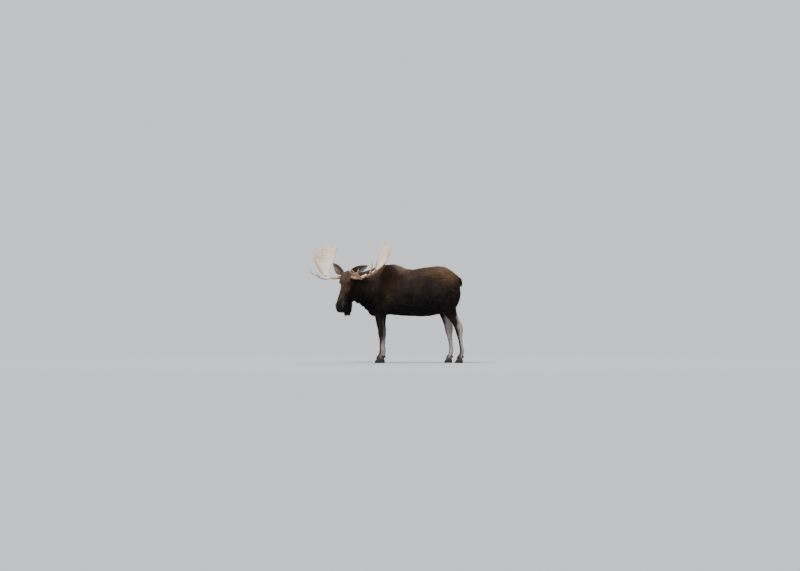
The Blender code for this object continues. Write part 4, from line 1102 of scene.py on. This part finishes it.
def antler(side_name, hand):
    """One antler of bone, its three lengths made one, with soft ridges and a pearled burr."""
    names = ["antler_%s_%s" % (side_name, part) for part in ("beam", "brow_palm", "main_palm")]
    mesh = webbed(names)
    p, e, t = get_points(mesh), get_edges(mesh), get_triangles(mesh)
    p = averaged(p, e, 3, 0.45)
    nrm = get_normals(p, t)
    burr = BROW_CENTRE + LEFTWARD * hand * 0.12
    fork = BROW_CENTRE + LEFTWARD * hand * 0.43 + UP * 0.03
    reach = norm(p - burr)
    rel = p - fork
    # turn: the way of the grooves, round the beam and fanned out over each palm
    whose = nearest_node(p, names)
    along_beam = unit(fork - burr)
    side = unit(np.cross(along_beam, UP))
    from_burr = p[whose == 0] - burr
    turn = np.zeros(len(p))
    turn[whose == 0] = np.arctan2(from_burr @ np.cross(side, along_beam), from_burr @ side) * 0.35
    for number in (1, 2):
        turn[whose == number] = palm_angle(rel[whose == number]) + 10 * number
    seam = averaged((whose == 1) + 2 * (whose == 2), e, 10)
    calm = step(0.06, 0.2, norm(rel)) * step(0.22, 0.05, np.abs(seam - np.rint(seam)))
    thin = step(0.8, 0.35, norm(averaged(nrm, e, 14)))
    tip = step(0.011, 0.022, norm(averaged(p, e, 60) - p)) * step(0.25, 0.4, reach)
    # under: outer faces tinted tan as the bone's own darker outer side, and faces turned down tinted further
    # as painted shade
    under = step(-0.15, 0.75, nrm @ unit(LEFTWARD * hand - UP * 0.9 - FACING * 0.2))
    under = averaged(under * step(0.06, 0.2, reach) * np.maximum(step(0.95, 0.55, reach), 0.45), e, 6)
    ridge = np.sin(turn * 44 + 1.5 * waves(p, 0.25, 31)) * 0.0006 * calm + 0.0009 * waves(p, 0.07, 32)
    pearls = np.maximum(0, waves(p, 0.012, 33)) * 0.0022 * step(0.06, 0.025, reach)
    set_points(mesh, p + nrm * (ridge + pearls)[:, None])
    for name, values in dict(reach=reach, turn=turn, thin=thin, calm=calm, under=under, tip=tip).items():
        add_attribute(mesh, name, values)
    shade_smooth(mesh)
    piece = new_object("antler_" + side_name, mesh, antler_bone)
    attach(piece, "root")
    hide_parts(*names)
    print(piece.name, len(t), "triangles")


antler_bone = antler_material()
antler("left", 1)
antler("right", -1)

# ---- Hooves ----

hoof = hoof_material()
for foot in ("fore_left", "fore_right", "hind_left", "hind_right"):
    for part in ("claw", "dewclaw"):
        names = ["%s_%s_%s" % (foot, part, which) for which in ("inner", "outer")]
        mesh = without_crumbs(remeshed([grown_node(n, HOOF_GROW) for n in names], HOOF_VOXEL))
        p, e = get_points(mesh), get_edges(mesh)
        if part == "claw":
            middle = centre_of(names[0]) * 0.5 + centre_of(names[1]) * 0.5
            narrow = 1 - 0.1 * step(0.045, 0.088, p[:, 2])
            p[:, :2] = middle[:2] + (p[:, :2] - middle[:2]) * narrow[:, None]
        p = averaged(p, e, 12, np.where(p[:, 2] < SOLE, 0.1, 0.5))
        if part == "claw":
            p[:, 2] = np.where(p[:, 2] < SOLE, 0, p[:, 2])
        set_points(mesh, np.maximum(p, (-9, -9, 0)))
        shade_smooth(mesh)
        piece = new_object("%s_%s" % ("hoof" if part == "claw" else "dewclaws", foot), mesh, hoof)
        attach(piece, "root")
        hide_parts(*names)

# ---- Eyes ----

wet = eye_material()
for side_name, hand in (("left", 1), ("right", -1)):
    bm = bmesh.new()
    bmesh.ops.create_uvsphere(bm, u_segments=40, v_segments=28, radius=eye_radius)
    for vert in bm.verts:
        cap = max(0, vert.co.z / eye_radius - 0.72) / 0.28
        vert.co.z += 0.0016 * cap * (2 - cap)
    mesh = closed(bm, "eyeball_" + side_name)
    shade_smooth(mesh)
    ball = new_object("eyeball_" + side_name, mesh, wet)
    outward = unit(LEFTWARD * hand + FACING * 0.25)
    level = unit(np.cross(UP, outward))
    turn_to(ball, level, np.cross(outward, level), outward, eye_centres[hand])
    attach(ball, "root")
    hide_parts("eye_" + side_name)

# ---- Studio ----


STUDIO_COLOUR = (0.95, 0.97, 1)
STUDIO_BRIGHTNESS = 0.95


def floor_material():
    """A pale matt floor that turns into the studio's own light far from the animal."""
    m = Nodes("studio_floor", 0.9, Specular_IOR_Level=0)
    tone = m.noise(m.place(), 0.4, 2)
    far = m.node("VectorMath", "Value", {0: m.place()}, operation="LENGTH")
    glow = m.node("Emission", 0, {"Color": (*STUDIO_COLOUR, 1), "Strength": STUDIO_BRIGHTNESS})
    both = m.node("MixShader", 0, {
        0: m.between(far, 3, 12), 1: m.shader.outputs[0], 2: glow})
    m.put(both, m.tree.nodes["Material Output"].inputs["Surface"])
    return m.finish(m.mix(tone, (0.342, 0.35, 0.361), (0.353, 0.361, 0.372)))


bm = bmesh.new()
bmesh.ops.create_grid(bm, x_segments=2, y_segments=2, size=400.0)
floor = new_object("studio_floor", closed(bm, "studio_floor"), floor_material())

world = bpy.data.worlds.new("studio")
bpy.context.scene.world = world
world.use_nodes = True
background = world.node_tree.nodes["Background"].inputs
background["Color"].default_value = (*STUDIO_COLOUR, 1)
background["Strength"].default_value = STUDIO_BRIGHTNESS


def lamp(name, kind, way, energy, angle):
    """A far soft light that shines along a direction."""
    data = bpy.data.lights.new(name, kind)
    data.energy = energy
    data.angle = math.radians(angle)
    back = -unit(way)
    right = unit(np.cross(UP, back))
    turn_to(linked(name, data), right, np.cross(back, right), back)


lamp("key", "SUN", (-0.55, 0.35, -1), 5.6, 18)
lamp("back", "SUN", (0.7, -0.4, -0.7), 1.4, 35)

# ---- Camera ----

CAMERA_FAR = 82.3  # a long lens from far off, level, at the height of the animal's flank
CAMERA_HEIGHT = 1.435
CAMERA_ALONG = 0.2525
camera_data = bpy.data.cameras.new("camera")
camera_data.lens = 200
camera_data.sensor_width = 36
camera_data.clip_end = 1000
camera = linked("camera", camera_data)
camera.location = (middle_x + CAMERA_FAR, CAMERA_ALONG, CAMERA_HEIGHT)
camera.rotation_euler = (math.radians(90), 0, math.radians(90))
bpy.context.scene.camera = camera
